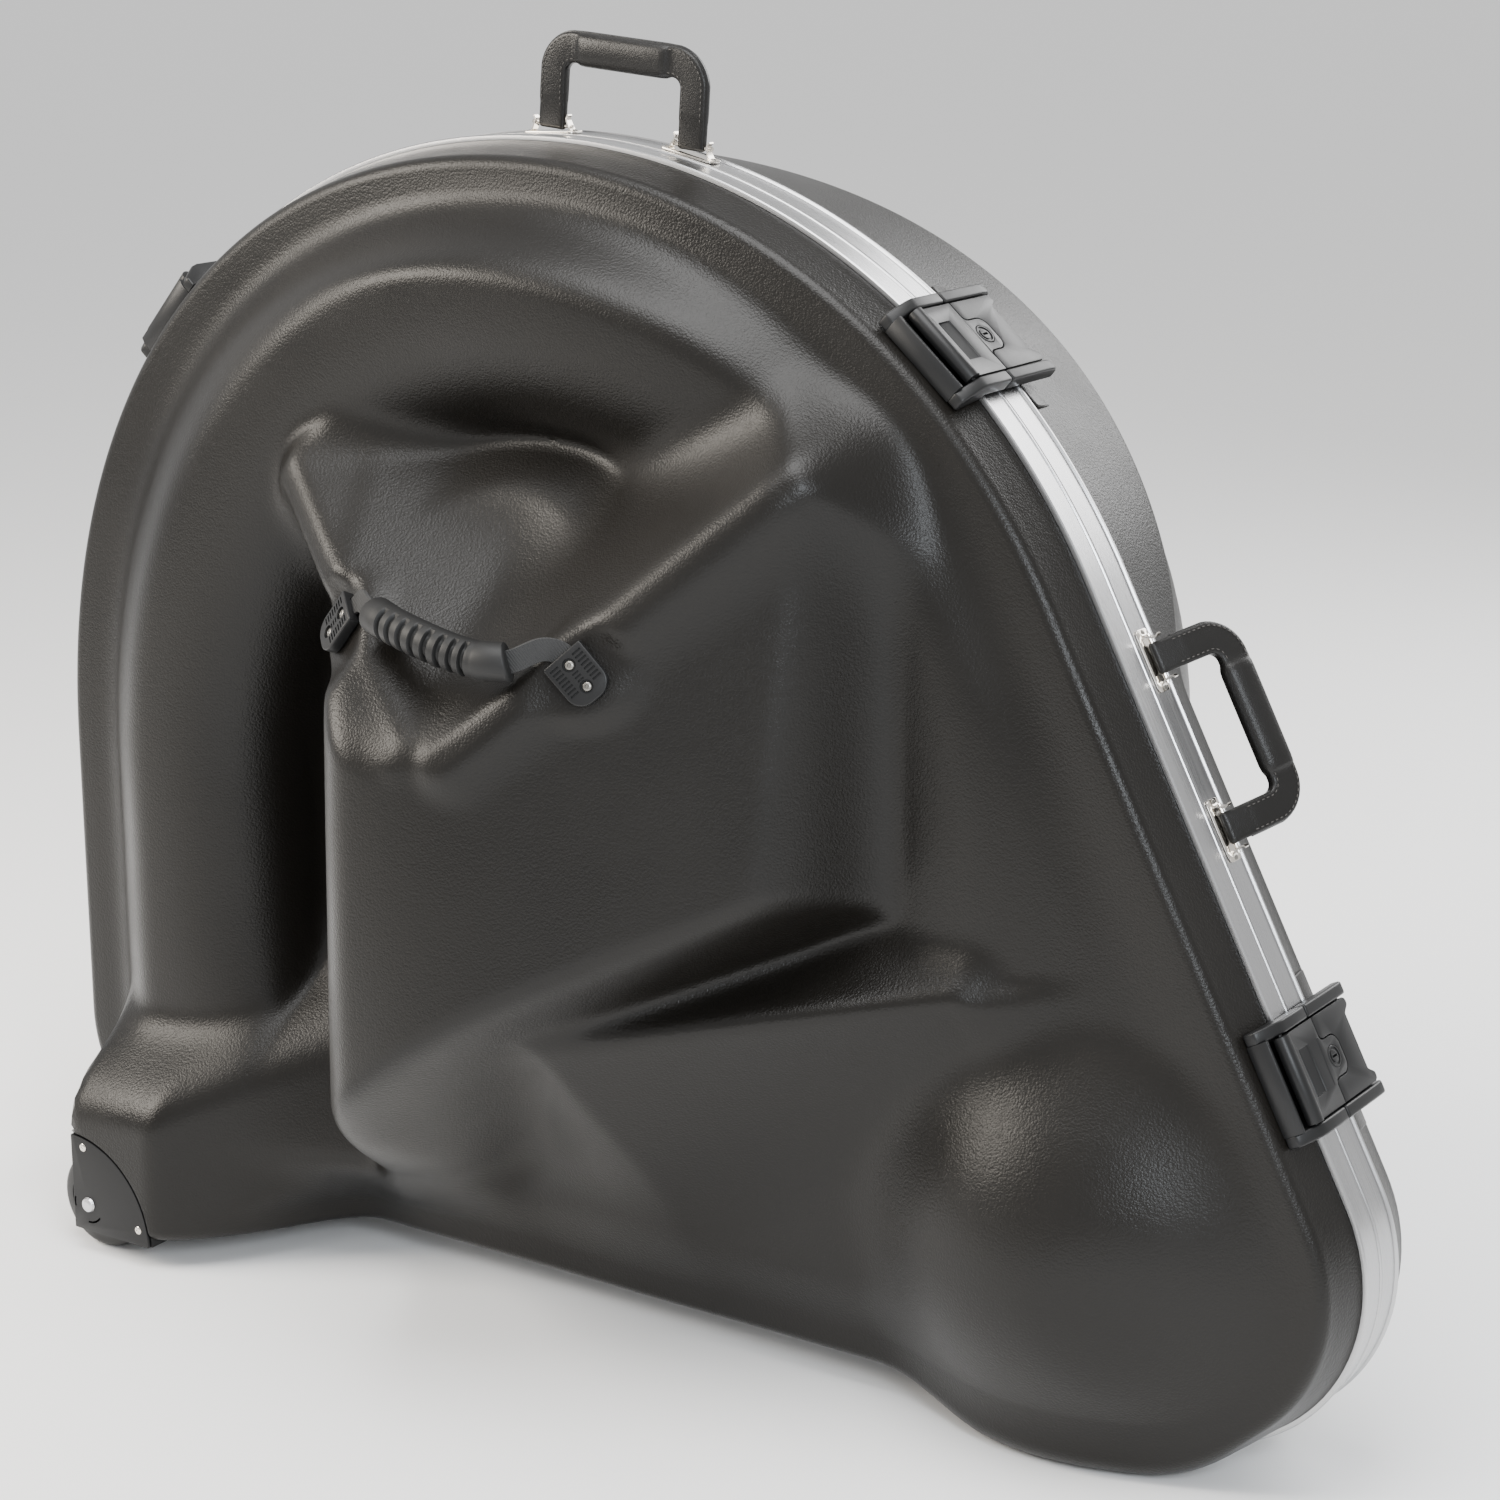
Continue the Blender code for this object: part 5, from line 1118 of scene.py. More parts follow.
@dataclass
class Latch:
    """Guarded draw latch with a lever, a trigger tail and a key lock."""

    prefix: str
    seat: Seat
    width: float = 0.080
    cheek: float = 0.0088
    cheek_height: float = 0.0150
    base: float = 0.0040
    floor: float = 0.0062
    front: float = 0.0530
    back: float = 0.0620
    slope_start: float = 0.0320
    lever_width: float = 0.060
    lever_top: float = 0.0138
    lever_underside: float = 0.0074
    barrel_y: float = -0.0365
    barrel_z: float = 0.0108
    barrel_radius: float = 0.0060
    lever_end: float = 0.0040
    trigger_axis: float = 0.0123
    trigger_end: float = 0.0560
    flap_thickness: float = 0.0032
    lock_y: float = 0.0140
    lock_radius: float = 0.0075
    tongue_half: float = 0.0132
    tongue_end: float = 0.0262
    tongue_corner: float = 0.0080
    notch_half: float = 0.0190
    notch_depth: float = 0.0070
    groove: float = 0.0008
    window_half: float = 0.0165
    pad_half: float = 0.0560
    pad_end: float = 0.0530
    draft: float = 0.0070
    rim_depth: float = 0.0660
    edge_radius: float = 0.0100
    valance_width: float = 0.0255
    frame: Matrix = field(default_factory=Matrix)

    @property
    def short(self) -> str:
        """Latch's name as its bodies spell it."""
        return self.prefix.replace("_latch", "")

    def wall_line(self, y: float) -> float:
        """Height just over the shell's side wall at a distance from the seam."""
        share = max(0.0, (y - self.valance_width) / (self.rim_depth - self.edge_radius - self.valance_width))
        return FIT - self.draft * share

    def cheeks(self, bm: Mesh, side_view: Sequence[Point2]) -> None:
        """Extrudes a side view into both cheeks and rounds their edges."""
        for low in (-self.width / 2, self.width / 2 - self.cheek):
            extruded(bm, [(low, y, z) for y, z in side_view], (self.cheek, 0.0, 0.0))
        rounded(bm, 0.0017, 4, 22.0)

    def front_guard(self) -> None:
        """Guard on the lid, its cheeks sloping down to a lip in front."""
        bm = bmesh.new()
        top = self.cheek_height
        self.cheeks(bm, [
            (-0.0007, self.base), (-0.0007, top), (-self.slope_start, top),
            (-self.slope_start - 0.006, top - 0.0016), (-self.front + 0.0025, top - 0.0098),
            (-self.front, top - 0.0122), (-self.front, self.wall_line(self.front)),
            (-self.valance_width - 0.0008, self.wall_line(self.valance_width)),
            (-self.valance_width - 0.0004, self.base),
        ])
        inner = self.width / 2 - self.cheek + 0.0006
        rest = self.barrel_y - self.barrel_radius - 0.0014
        plate = bmesh.new()
        extruded(plate, [
            (-inner, -0.0008, self.base), (-inner, -0.0008, self.floor),
            (-inner, -self.valance_width, self.floor),
            (-inner, -self.valance_width - 0.002, self.floor - 0.0036), (-inner, rest, 0.0022),
            (-inner, rest - 0.0008, 0.0058), (-inner, -self.front + 0.0052, 0.0064),
            (-inner, -self.front + 0.0044, 0.0088),
            (-inner, -self.front + 0.0020, 0.0088), (-inner, -self.front, 0.0034),
            (-inner, -self.front, self.wall_line(self.front)),
            (-inner, -self.valance_width - 0.0008, self.wall_line(self.valance_width)),
            (-inner, -self.valance_width - 0.0004, self.base),
        ], (2.0 * inner, 0.0, 0.0))
        rounded(plate, 0.0004, 2)
        piece = make(self.prefix + "_lid_guard", join(bm, plate), NYLON, self.frame)
        fit_piece(piece, "lid", NYLON, self.prefix + "_front_guard")

    def back_guard(self) -> None:
        """Guard on the back half with rounded cheek ends."""
        bm = bmesh.new()
        top, end = self.cheek_height, self.back
        self.cheeks(bm, [
            (0.0007, self.base), (0.0007, top), (end - 0.012, top), (end - 0.0045, top - 0.0006),
            (end - 0.0014, top - 0.0024), (end, top - 0.0056), (end, self.base),
        ])
        inner = self.width / 2 - self.cheek + 0.0006
        plate = bmesh.new()
        block(plate, (-inner, 0.0008, self.base), (inner, end - 0.002, self.floor))
        rounded(plate, 0.0004, 2)
        piece = make(self.prefix + "_back_guard_cheeks", join(bm, plate), NYLON, self.frame)
        fit_piece(piece, "back_half", NYLON, self.prefix + "_back_guard")

    def shell_pad(self) -> None:
        """Flat that is pressed proud of the back shell's wall, under and beside the guard."""
        bm = bmesh.new()
        start, end = self.valance_width + 0.004, self.pad_end
        view = [(start, self.wall_line(start) - 0.003), (end, self.wall_line(end) - 0.003),
                (end, self.wall_line(end) + 0.0006), (start, self.wall_line(start) + 0.0006)]
        extruded(bm, [(-self.pad_half, y, z) for y, z in view], (2.0 * self.pad_half, 0.0, 0.0))
        rounded(bm, 0.0012, 3)
        fit_piece(make(self.prefix + "_shell_pad", bm, ABS, self.frame), "back_half", ABS)

    def lever(self) -> None:
        """Lever that rolls over the pivot pin, with a window recess and a tongue round the lock."""
        bm = bmesh.new()
        view = [(self.lever_end, self.lever_underside), (self.lever_end, self.lever_top)]
        start = math.asin((self.lever_top - self.barrel_z) / self.barrel_radius)
        end = math.pi + math.asin((self.barrel_z - self.lever_underside) / self.barrel_radius)
        for i in range(15):
            a = start + (end - start) * i / 14
            view.append((self.barrel_y + self.barrel_radius * math.cos(a),
                         self.barrel_z + self.barrel_radius * math.sin(a)))
        half = self.lever_width / 2
        extruded(bm, [(-half, y, z) for y, z in view], (self.lever_width, 0.0, 0.0))
        lever = make("lever_blade", bm, NYLON, self.frame)
        tongue = bmesh.new()
        extruded(tongue, [(x, y, self.lever_underside) for x, y in self.tongue(0.0)],
                 (0.0, 0.0, self.lever_top - self.lever_underside))
        cut_away(lever, [make("tongue", tongue, NYLON, self.frame)], "UNION")
        top = self.lever_top
        window = bmesh.new()
        extruded(window, [
            (-self.window_half, y, top + z)
            for y, z in ((-0.0266, 0.002), (-0.0262, -0.0034), (-0.0234, -0.0034), (-0.0226, -0.0018),
                         (-0.0124, -0.0009), (-0.0114, 0.002))
        ], (2.0 * self.window_half, 0.0, 0.0))
        rounded(window, 0.0005, 2, 20.0)
        bore = bmesh.new()
        disc(bore, self.lock_radius + FIT, self.lever_underside + 0.0012, self.lever_top + 0.002, 40,
             Matrix.Translation((0.0, self.lock_y, 0.0)))
        cut_away(lever, [make("window", window, NYLON, self.frame), make("bore", bore, NYLON, self.frame)])
        finish_edges(lever, 0.0006)
        lever.name = self.prefix + "_lever_blade"
        fit_piece(lever, self.short + "_lever", NYLON, self.prefix + "_lever")

    def tongue(self, gap: float) -> list[Point2]:
        """Outline of the lever's tongue round the lock, grown by a gap."""
        wide, end, corner = self.tongue_half + gap, self.tongue_end + gap, self.tongue_corner + gap
        points = [(wide + 0.0034, self.lever_end + gap), (wide + 0.0010, self.lever_end + 0.0016 + gap),
                  (wide, self.lever_end + 0.0046 + gap)]
        for side in (1.0, -1.0):
            for i in range(9):
                a = math.radians(11.25 * i) if side > 0.0 else math.radians(90.0 + 11.25 * i)
                points.append((side * (wide - corner) + corner * math.cos(a),
                               end - corner + corner * math.sin(a)))
        points += [(-x, y) for x, y in reversed(points[:3])]
        return points + [(-wide - 0.0034, self.lever_end - 0.004), (wide + 0.0034, self.lever_end - 0.004)]

    def trigger(self) -> None:
        """Tail with two horns, hinged under a thin flap that is cut out round the lever's tongue."""
        half, end, depth = self.lever_width / 2, self.trigger_end, self.notch_depth
        tail = [(half, self.trigger_axis + 0.0004), (half, end - 0.003), (half - 0.0012, end - 0.0006),
                (half - 0.003, end)]
        for i in range(9):
            t = i / 8
            tail.append((self.notch_half + 0.0060 * (1.0 - t), end - depth * t * t * (3.0 - 2.0 * t)))
        tail += [(-x, y) for x, y in reversed(tail)]
        flap = [(half, self.lever_end + self.groove), (half, self.trigger_axis + 0.0030),
                (-half, self.trigger_axis + 0.0030), (-half, self.lever_end + self.groove)]
        made = []
        for name, outline, low in (("tail", tail, self.lever_underside),
                                   ("flap", flap, self.lever_top - self.flap_thickness)):
            bm = bmesh.new()
            extruded(bm, [(x, y, low) for x, y in outline], (0.0, 0.0, self.lever_top - low))
            made.append(make(name, bm, NYLON, self.frame))
        tail_piece, flap_piece = made
        cut_away(tail_piece, [flap_piece], "UNION")
        hole = bmesh.new()
        extruded(hole, [(x, y, self.lever_underside - 0.002) for x, y in self.tongue(self.groove)],
                 (0.0, 0.0, self.lever_top - self.lever_underside + 0.004))
        cut_away(tail_piece, [make("tongue_hole", hole, NYLON, self.frame)])
        finish_edges(tail_piece, 0.0006)
        tail_piece.name = self.prefix + "_trigger_tail"
        fit_piece(tail_piece, self.short + "_trigger", NYLON, self.prefix + "_trigger")

    def key_lock(self) -> None:
        """Round lock core with a ring, a dish and a key slot."""
        bm = bmesh.new()
        place = Matrix.Translation((0.0, self.lock_y, 0.0))
        top = self.lever_top + 0.0003
        disc(bm, self.lock_radius, self.lever_underside + 0.0015, top, 40, place)
        rounded(bm, 0.0006, 3)
        core = make("lock_core", bm, NYLON, self.frame)
        dish = bmesh.new()
        disc(dish, self.lock_radius - 0.0013, top - 0.0009, top + 0.001, 40, place)
        slot = bmesh.new()
        block(slot, (-0.0008, self.lock_y - 0.0030, top - 0.0030),
              (0.0008, self.lock_y + 0.0030, top + 0.001))
        cut_away(core, [make("dish", dish, NYLON, self.frame)])
        plug = bmesh.new()
        disc(plug, 0.0044, top - 0.0020, top - 0.0001, 32, place)
        cut_away(core, [make("plug", plug, NYLON, self.frame)], "UNION")
        cut_away(core, [make("slot", slot, NYLON, self.frame)])
        finish_edges(core, 0.0002)
        core.name = self.prefix + "_lock_core"
        fit_piece(core, self.short + "_lock", NYLON, self.prefix + "_key_lock")

    def build(self) -> None:
        """Builds the whole latch on its seat."""
        self.frame = seat_frame(self.seat)
        self.front_guard()
        self.back_guard()
        self.shell_pad()
        self.lever()
        self.trigger()
        self.key_lock()


def join(first: Mesh, second: Mesh) -> Mesh:
    """Adds the second mesh's parts to the first."""
    spare = bpy.data.meshes.new("spare")
    second.to_mesh(spare)
    second.free()
    first.from_mesh(spare)
    bpy.data.meshes.remove(spare)
    return first


def finish_edges(piece: Piece, width: float) -> None:
    """Rounds a Boolean result's sharp edges and smooths it."""
    edge = piece.modifiers.new("rounded edges", "BEVEL")
    edge.width = width
    edge.segments = 2
    edge.limit_method = "ANGLE"
    edge.angle_limit = math.radians(40.0)
    edge.harden_normals = False
    bake(piece)
    piece.data.shade_smooth()
    piece.data.set_sharp_from_angle(angle=math.radians(38.0))


# Carry handles

PIN_SPAN = 0.121
PIN_RISE = 0.0074
STRAP_WIDTH = 0.022


@dataclass
class CarryHandle:
    """Padded strap handle, stitched along its edges, on two nickel brackets."""

    prefix: str
    centre: Seat
    rise: float
    fold: float
    brackets: Sequence[Seat] = ()
    span: float = PIN_SPAN
    width: float = STRAP_WIDTH
    thickness: float = 0.0090
    end_thickness: float = 0.0066
    grip_thickness: float = 0.0155
    grip_half: float = 0.039
    reach: float = 0.056
    corner: float = 0.018
    pivot_y: float = 0.012
    pin_hole_radius: float = 0.0017
    stitch_pitch: float = 0.0042
    plate_half: float = 0.0220
    plate_half_width: float = 0.0075
    plate_corner: float = 0.0035
    plate_thickness: float = 0.0014
    plate_lift: float = 0.0020 + FIT
    rivet_x: float = 0.0193
    ear_thickness: float = 0.0011

    def path(self) -> list[tuple[float, float, float, float, float, float]]:
        """Rows along the strap: x, z, angle, outer half width, inner half width, thickness."""
        half, w = self.span / 2, self.width / 2
        rows = [(-half, -0.0028, 90.0, w - 0.0012, w - 0.0012, 0.0030), (-half, -0.0015, 90.0, w, w, 0.0056),
                (-half, 0.0, 90.0, w, w, self.end_thickness),
                (-half, 0.0150, 90.0, w, w, self.end_thickness),
                (-half, 0.0185, 90.0, w, w, self.thickness * 0.93),
                (-half, 0.0240, 90.0, w, w, self.thickness)]
        bend = self.corner
        for i in range(1, 12):
            a = math.radians(90.0) * i / 12
            rows.append((-half + bend - bend * math.cos(a), self.reach - bend + bend * math.sin(a),
                         90.0 - 90.0 * i / 12, w, w, self.thickness))
        g = self.grip_half
        rows.append((-g - 0.001, self.reach, 0.0, w, w, self.thickness))
        for x, share in ((-g + 0.001, 0.55), (-g + 0.003, 0.85), (-g + 0.007, 1.0), (-0.018, 1.0),
                         (-0.006, 1.0)):
            extra = (self.grip_thickness - self.thickness) * share
            rows.append((x, self.reach, 0.0, w + 0.0002 * share, w + 0.0020 * share, self.thickness + extra))
        return rows + [(-x, z, -a, wo, wi, t) for x, z, a, wo, wi, t in reversed(rows)]

    def section(self, row: tuple[float, ...], grow_by: float = 0.0) -> list[Vector]:
        """Rounded section of the strap at a row."""
        x, z, angle, outer, inner, thickness = row
        a = math.radians(angle)
        across = Vector((-math.sin(a), 0.0, math.cos(a)))
        t = thickness / 2 + grow_by
        ring = []
        for i in range(20):
            b = 2.0 * math.pi * i / 20
            c, s = math.cos(b), math.sin(b)
            reach = (outer if c > 0 else inner) + grow_by
            square = 0.42 if thickness < self.thickness * 1.2 else 0.75
            u = math.copysign(abs(c) ** (square * 0.9), c) * reach
            v = math.copysign(abs(s) ** square, s) * t
            ring.append(Vector((x, v, z)) + across * u)
        return ring

    def build(self) -> None:
        """Builds the strap, its stitches and the brackets' rivets."""
        seat = seat_frame(self.centre) @ Matrix.Translation((0.0, self.pivot_y, 0.0))
        pivot = seat @ Matrix.Translation((0.0, 0.0, self.rise)) @ Matrix.Rotation(-self.fold, 4, "X")
        bm = bmesh.new()
        swept(bm, [self.section(row) for row in self.path()])
        strap = make(self.prefix + "_strap", bm, LEATHERETTE, pivot)
        holes = []
        for side in (-1.0, 1.0):
            hole = bmesh.new()
            turn = Matrix.Translation((side * self.span / 2, 0.0, 0.0))
            turn = turn @ Matrix.Rotation(math.pi / 2, 4, "Y")
            disc(hole, self.pin_hole_radius, -self.width, self.width, 20, turn)
            holes.append(make("strap_hole", hole, LEATHERETTE, pivot))
        cut_away(strap, holes)
        strap.data.shade_smooth()
        strap.data.set_sharp_from_angle(angle=math.radians(50.0))
        body = self.prefix + "_handle_body"
        fit_piece(strap, body, LEATHERETTE, self.prefix + "_handle")
        self.stitches(pivot, body)
        self.piping(pivot, body)
        for letter, seat_at in zip("ab", self.brackets):
            lift = Matrix.Translation((0.0, self.pivot_y, self.plate_lift))
            self.bracket(letter, seat_frame(seat_at) @ lift)

    def bracket(self, letter: str, place: Matrix) -> None:
        """Thin plate with two ears bent up beside the handle's end, and its rivets."""
        bm = bmesh.new()
        outline = []
        r = self.plate_corner
        at_x, at_y = self.plate_half - r, self.plate_half_width - r
        for way_x, way_y, first in ((1, 1, 0.0), (-1, 1, 90.0), (-1, -1, 180.0), (1, -1, 270.0)):
            for i in range(7):
                a = math.radians(first + 15.0 * i)
                outline.append((way_x * at_x + r * math.cos(a), way_y * at_y + r * math.sin(a), 0.0))
        extruded(bm, outline, (0.0, 0.0, self.plate_thickness))
        rounded(bm, 0.0003, 2)
        plate = make("bracket_plate", bm, NICKEL, place)
        ears = []
        for side in (-1.0, 1.0):
            ear = bmesh.new()
            swept(ear, self.ear_sections(side))
            ears.append(make("bracket_ear", ear, NICKEL, place))
        cut_away(plate, ears, "UNION")
        plate.name = self.prefix + "_bracket_plate_" + letter
        plate.data.set_sharp_from_angle(angle=math.radians(38.0))
        fit_piece(plate, "back_half", NICKEL, self.prefix + "_bracket_" + letter)
        height = self.plate_thickness - 0.0001
        spots = [place @ Matrix.Translation((x, 0.0, height)) for x in (-self.rivet_x, self.rivet_x)]
        rivets(self.prefix + "_bracket_rivets_" + letter, spots, 0.0024, 0.0009, DULL_NICKEL,
               "back_half", False)

    def ear_sections(self, side: float) -> list[list[Vector]]:
        """Flat sections along one ear, from the plate up past the pin."""
        line = [(0.0212, 0.0009), (0.0190, 0.0011), (0.0172, 0.0020), (0.0158, 0.0040), (0.0149, 0.0064),
                (0.0141, 0.0086), (0.0138, 0.0102), (0.0144, 0.0116), (0.0155, 0.0125)]
        sections = []
        for i, (x, z) in enumerate(line):
            before, after = line[max(0, i - 1)], line[min(len(line) - 1, i + 1)]
            run = Vector((after[0] - before[0], 0.0, after[1] - before[1])).normalized()
            across = Vector((-run.z, 0.0, run.x)) * (self.ear_thickness / 2)
            half = 0.0035 - 0.0012 * i / (len(line) - 1)
            middle = Vector((x, 0.0, z))
            wide = Vector((0.0, half, 0.0))
            corners = [middle + across + wide, middle + across - wide, middle - across - wide,
                       middle - across + wide]
            sections.append([Vector((side * c.x, c.y, c.z)) for c in corners])
        return sections

    def stitches(self, pivot: Matrix, body: str) -> None:
        """Runs of short stitches near the strap's edges, on both faces."""
        rows = self.path()
        bm = bmesh.new()
        for face in (-1.0, 1.0):
            for edge in (-1.0, 1.0):
                line: list[Vector] = []
                for x, z, angle, outer, inner, thickness in rows[3:-3]:
                    padded = thickness > self.thickness * 1.2
                    if edge < 0 and abs(x) < self.grip_half + 0.001:
                        continue
                    a = math.radians(angle)
                    across = Vector((-math.sin(a), 0.0, math.cos(a)))
                    reach = (outer if edge > 0 else inner) - 0.0030
                    lift = thickness / 2 * (0.74 if padded else 0.985) + 0.0001
                    line.append(Vector((x, face * lift, z)) + across * reach * edge)
                self.stitch_line(bm, line, face)
        piece = make(self.prefix + "_handle_stitches", bm, THREAD, pivot, smooth=60.0)
        fit_piece(piece, body, THREAD)

    def stitch_line(self, bm: Mesh, line: Sequence[Vector], face: float) -> None:
        """Lays stitches of equal pitch along a broken line."""
        carried = 0.0
        for a, b in zip(line, line[1:]):
            length = (b - a).length
            if length > 0.030:
                carried = 0.0
                continue
            direction = (b - a).normalized()
            while carried < length:
                here = a + direction * carried
                side = direction.cross(Vector((0.0, face, 0.0))).normalized()
                up = side.cross(direction).normalized()
                turn = Matrix((direction, side, up)).transposed().to_4x4()
                turn.translation = here
                size = Matrix.Diagonal((self.stitch_pitch * 0.36, 0.00050, 0.00042, 1.0))
                bmesh.ops.create_icosphere(bm, subdivisions=1, radius=1.0, matrix=turn @ size)
                carried += self.stitch_pitch
            carried -= length

    def piping(self, pivot: Matrix, body: str) -> None:
        """Raised painted line along the outer edge, where the strap's two faces meet."""
        bm = bmesh.new()
        sections = []
        for x, z, angle, outer, _, _ in self.path()[3:-3]:
            a = math.radians(angle)
            across = Vector((-math.sin(a), 0.0, math.cos(a)))
            middle = Vector((x, 0.0, z)) + across * (outer - 0.0004)
            sections.append([middle + Vector((0.0, 0.0016 * math.cos(b), 0.0)) + across * 0.0011 * math.sin(b)
                             for b in (2.0 * math.pi * i / 10 for i in range(10))])
        swept(bm, sections)
        fit_piece(make(self.prefix + "_handle_piping", bm, EDGE_PAINT, pivot), body, EDGE_PAINT)


# Flex handle

@dataclass
class FlexHandle:
    """Ribbed rubber pull between two screwed caps over the V."""

    seats: tuple[CapSeat, ...]
    cap_length: float = 0.037
    cap_width: float = 0.031
    cap_thickness: float = 0.0085
    cap_end_radius: float = 0.012
    screw_spots: tuple[float, float] = (-0.0100, 0.0080)
    seat_gap: float = 0.0004
    slot_height: float = 0.0042
    slot_length: float = 0.012
    webbing_width: float = 0.0160
    webbing_thickness: float = 0.0024
    grip_radius: float = 0.0130
    groove: float = 0.0034
    ribs: int = 8
    spine_angle: float = math.radians(100.0)
    grip_start: float = 0.315
    grip_end: float = 0.680
    bow: tuple[tuple[float, float, float], ...] = (
        (-0.108, -0.232, 0.5602), (-0.062, -0.249, 0.5560), (-0.020, -0.252, 0.5495),
        (0.010, -0.2475, 0.5485))

    def cap_frame(self, seat: CapSeat) -> Matrix:
        """Matrix on a cap's seat: Z out of the shell, X across the ridge and away from the grip."""
        out = Vector((-seat.slope[0], -1.0, -seat.slope[1])).normalized()
        start, end = seat.ridge_start, seat.ridge_end
        ridge = Vector((end[0] - start[0], 0.0, end[1] - start[1]))
        ridge = (ridge - out * ridge.dot(out)).normalized()
        away = ridge.cross(out)
        away *= -math.copysign(1.0, away.z)
        at = Vector((seat.at[0], -seat.depth, seat.at[1])) + out * self.seat_gap
        made = Matrix((away, out.cross(away), out)).transposed().to_4x4()
        made.translation = at
        return made

    def cap(self, word: str, place: Matrix) -> None:
        """Plate with a square and a round end, rows of slots and two screws."""
        half, wide, end = self.cap_length / 2, self.cap_width / 2, self.cap_end_radius
        outline = [(-half, wide), (-half, -wide)]
        for centre_v, first in ((-wide + end, -90.0), (wide - end, 0.0)):
            for i in range(9):
                a = math.radians(first + 11.25 * i)
                outline.append((half - end + end * math.cos(a), centre_v + end * math.sin(a)))
        bm = bmesh.new()
        extruded(bm, [(u, v, 0.0) for u, v in outline], (0.0, 0.0, self.cap_thickness))
        rounded(bm, 0.0011, 3)
        cap = make("cap_plate", bm, NYLON, place)
        cutter = bmesh.new()
        top = self.cap_thickness
        slot = self.webbing_width / 2 + 2 * FIT
        block(cutter, (-half - 0.01, -slot, -0.002), (-half + self.slot_length, slot, self.slot_height))
        for row in (-0.0095, 0.0095):
            for i in range(8):
                x = -half + 0.0040 + i * 0.0030
                block(cutter, (x, row - 0.0033, top - 0.0012), (x + 0.0014, row + 0.0033, top + 0.001))
        for i in (0, 1, 2):
            x = -0.0012 + (i - 1) * 0.0028
            block(cutter, (x, -0.0024, top - 0.0010), (x + 0.0012, 0.0024, top + 0.001))
        for x in self.screw_spots:
            disc(cutter, 0.0046, top - 0.0020, top + 0.001, 28, Matrix.Translation((x, 0.0, 0.0)))
        cut_away(cap, [make("cap_cutter", cutter, NYLON, place)])
        cap.name = "flex_cap_plate_" + word
        cap.data.set_sharp_from_angle(angle=math.radians(38.0))
        fit_piece(cap, "lid", NYLON, "flex_cap_" + word)
        places = [place @ Matrix.Translation((x, 0.0, top - 0.0021)) for x in self.screw_spots]
        rivets("flex_cap_screws_" + word, places, 0.0034, 0.0014, DULL_NICKEL, "lid", True)

    def path(self) -> tuple[list[Vector], Matrix, Matrix]:
        """Path of the webbing between the caps' slots, with both caps' frames."""
        lift = self.slot_height / 2
        half = self.cap_length / 2
        bow = [Vector(point) for point in self.bow]
        ends, frames = [], [self.cap_frame(seat) for seat in self.seats]
        for place, goal in zip(frames, (bow[0], bow[-1])):
            mouth = place @ Vector((-half - 0.002, 0.0, lift))
            turn = place @ Vector((-half - 0.007, 0.0, lift + 0.0015))
            ends.append((place @ Vector((-half + self.slot_length - 0.002, 0.0, lift)), mouth,
                         turn + (goal - mouth).normalized() * 0.010))
        left, right = ends
        return [*left, *bow, right[2], right[1], right[0]], frames[0], frames[1]

    @staticmethod
    def on_curve(points: Sequence[Vector], t: float) -> Vector:
        """Point on a smooth curve through the points, with t from 0 to 1."""
        count = len(points) - 1
        s = min(max(t, 0.0), 1.0) * count
        i = min(int(s), count - 1)
        f = s - i
        p0, p1, p2, p3 = points[max(i - 1, 0)], points[i], points[i + 1], points[min(i + 2, count)]
        return 0.5 * ((2 * p1) + (p2 - p0) * f + (2 * p0 - 5 * p1 + 4 * p2 - p3) * f ** 2
                      + (3 * p1 - p0 - 3 * p2 + p3) * f ** 3)

    def at(self, t: float) -> tuple[Vector, Vector, Vector]:
        """Place on the path with the webbing's width direction and its normal."""
        points, left, right = self.path()
        here = self.on_curve(points, t)
        ahead = self.on_curve(points, min(t + 0.01, 1.0)) - self.on_curve(points, max(t - 0.01, 0.0))
        ahead.normalize()
        up = Vector((0.0, 0.0, 1.0))
        side = left if t < 0.5 else right
        wide = side.to_3x3() @ Vector((0.0, 1.0, 0.0))
        wide *= math.copysign(1.0, wide.z)
        weight = float(ramp(t, 0.18, 0.30)) if t < 0.5 else 1.0 - float(ramp(t, 0.70, 0.82))
        wide = wide.lerp(up, weight)
        wide = (wide - ahead * wide.dot(ahead)).normalized()
        return here, wide, ahead.cross(wide)

    def grip_rows(self) -> list[tuple[float, float, float]]:
        """Rows along the grip: place on the path, radius and how deep a groove cuts there."""
        r, g = self.grip_radius, self.groove
        rows = [(0.0, r - 0.0024, 0.0), (0.004, r - 0.0008, 0.0), (0.012, r, 0.0), (0.115, r, 0.0),
                (0.135, r - 0.0004, 0.0)]
        first, last = 0.15, 0.76
        pitch = (last - first) / self.ribs
        for i in range(self.ribs):
            start = first + i * pitch
            for share, depth in ((0.02, 0.0), (0.06, 0.30), (0.09, 0.90), (0.16, 1.0), (0.38, 1.0),
                                 (0.45, 0.90), (0.48, 0.30), (0.54, 0.0), (0.75, -0.06), (0.96, 0.0)):
                rows.append((start + share * pitch, r - 0.0002, depth * g))
        rows += [(0.775, r, 0.0), (0.79, r + 0.0004, 0.0), (0.982, r + 0.0004, 0.0), (0.993, r - 0.0004, 0.0),
                 (1.0, r - 0.0022, 0.0)]
        span = self.grip_end - self.grip_start
        return [(self.grip_start + span * t, radius, cut) for t, radius, cut in rows]

    def groove_share(self, angle: float) -> float:
        """Share of a groove's depth round the grip: none on the spine along its upper back."""
        off = abs((angle - self.spine_angle + math.pi) % (2.0 * math.pi) - math.pi)
        return float(ramp(off, math.radians(26.0), math.radians(44.0)))

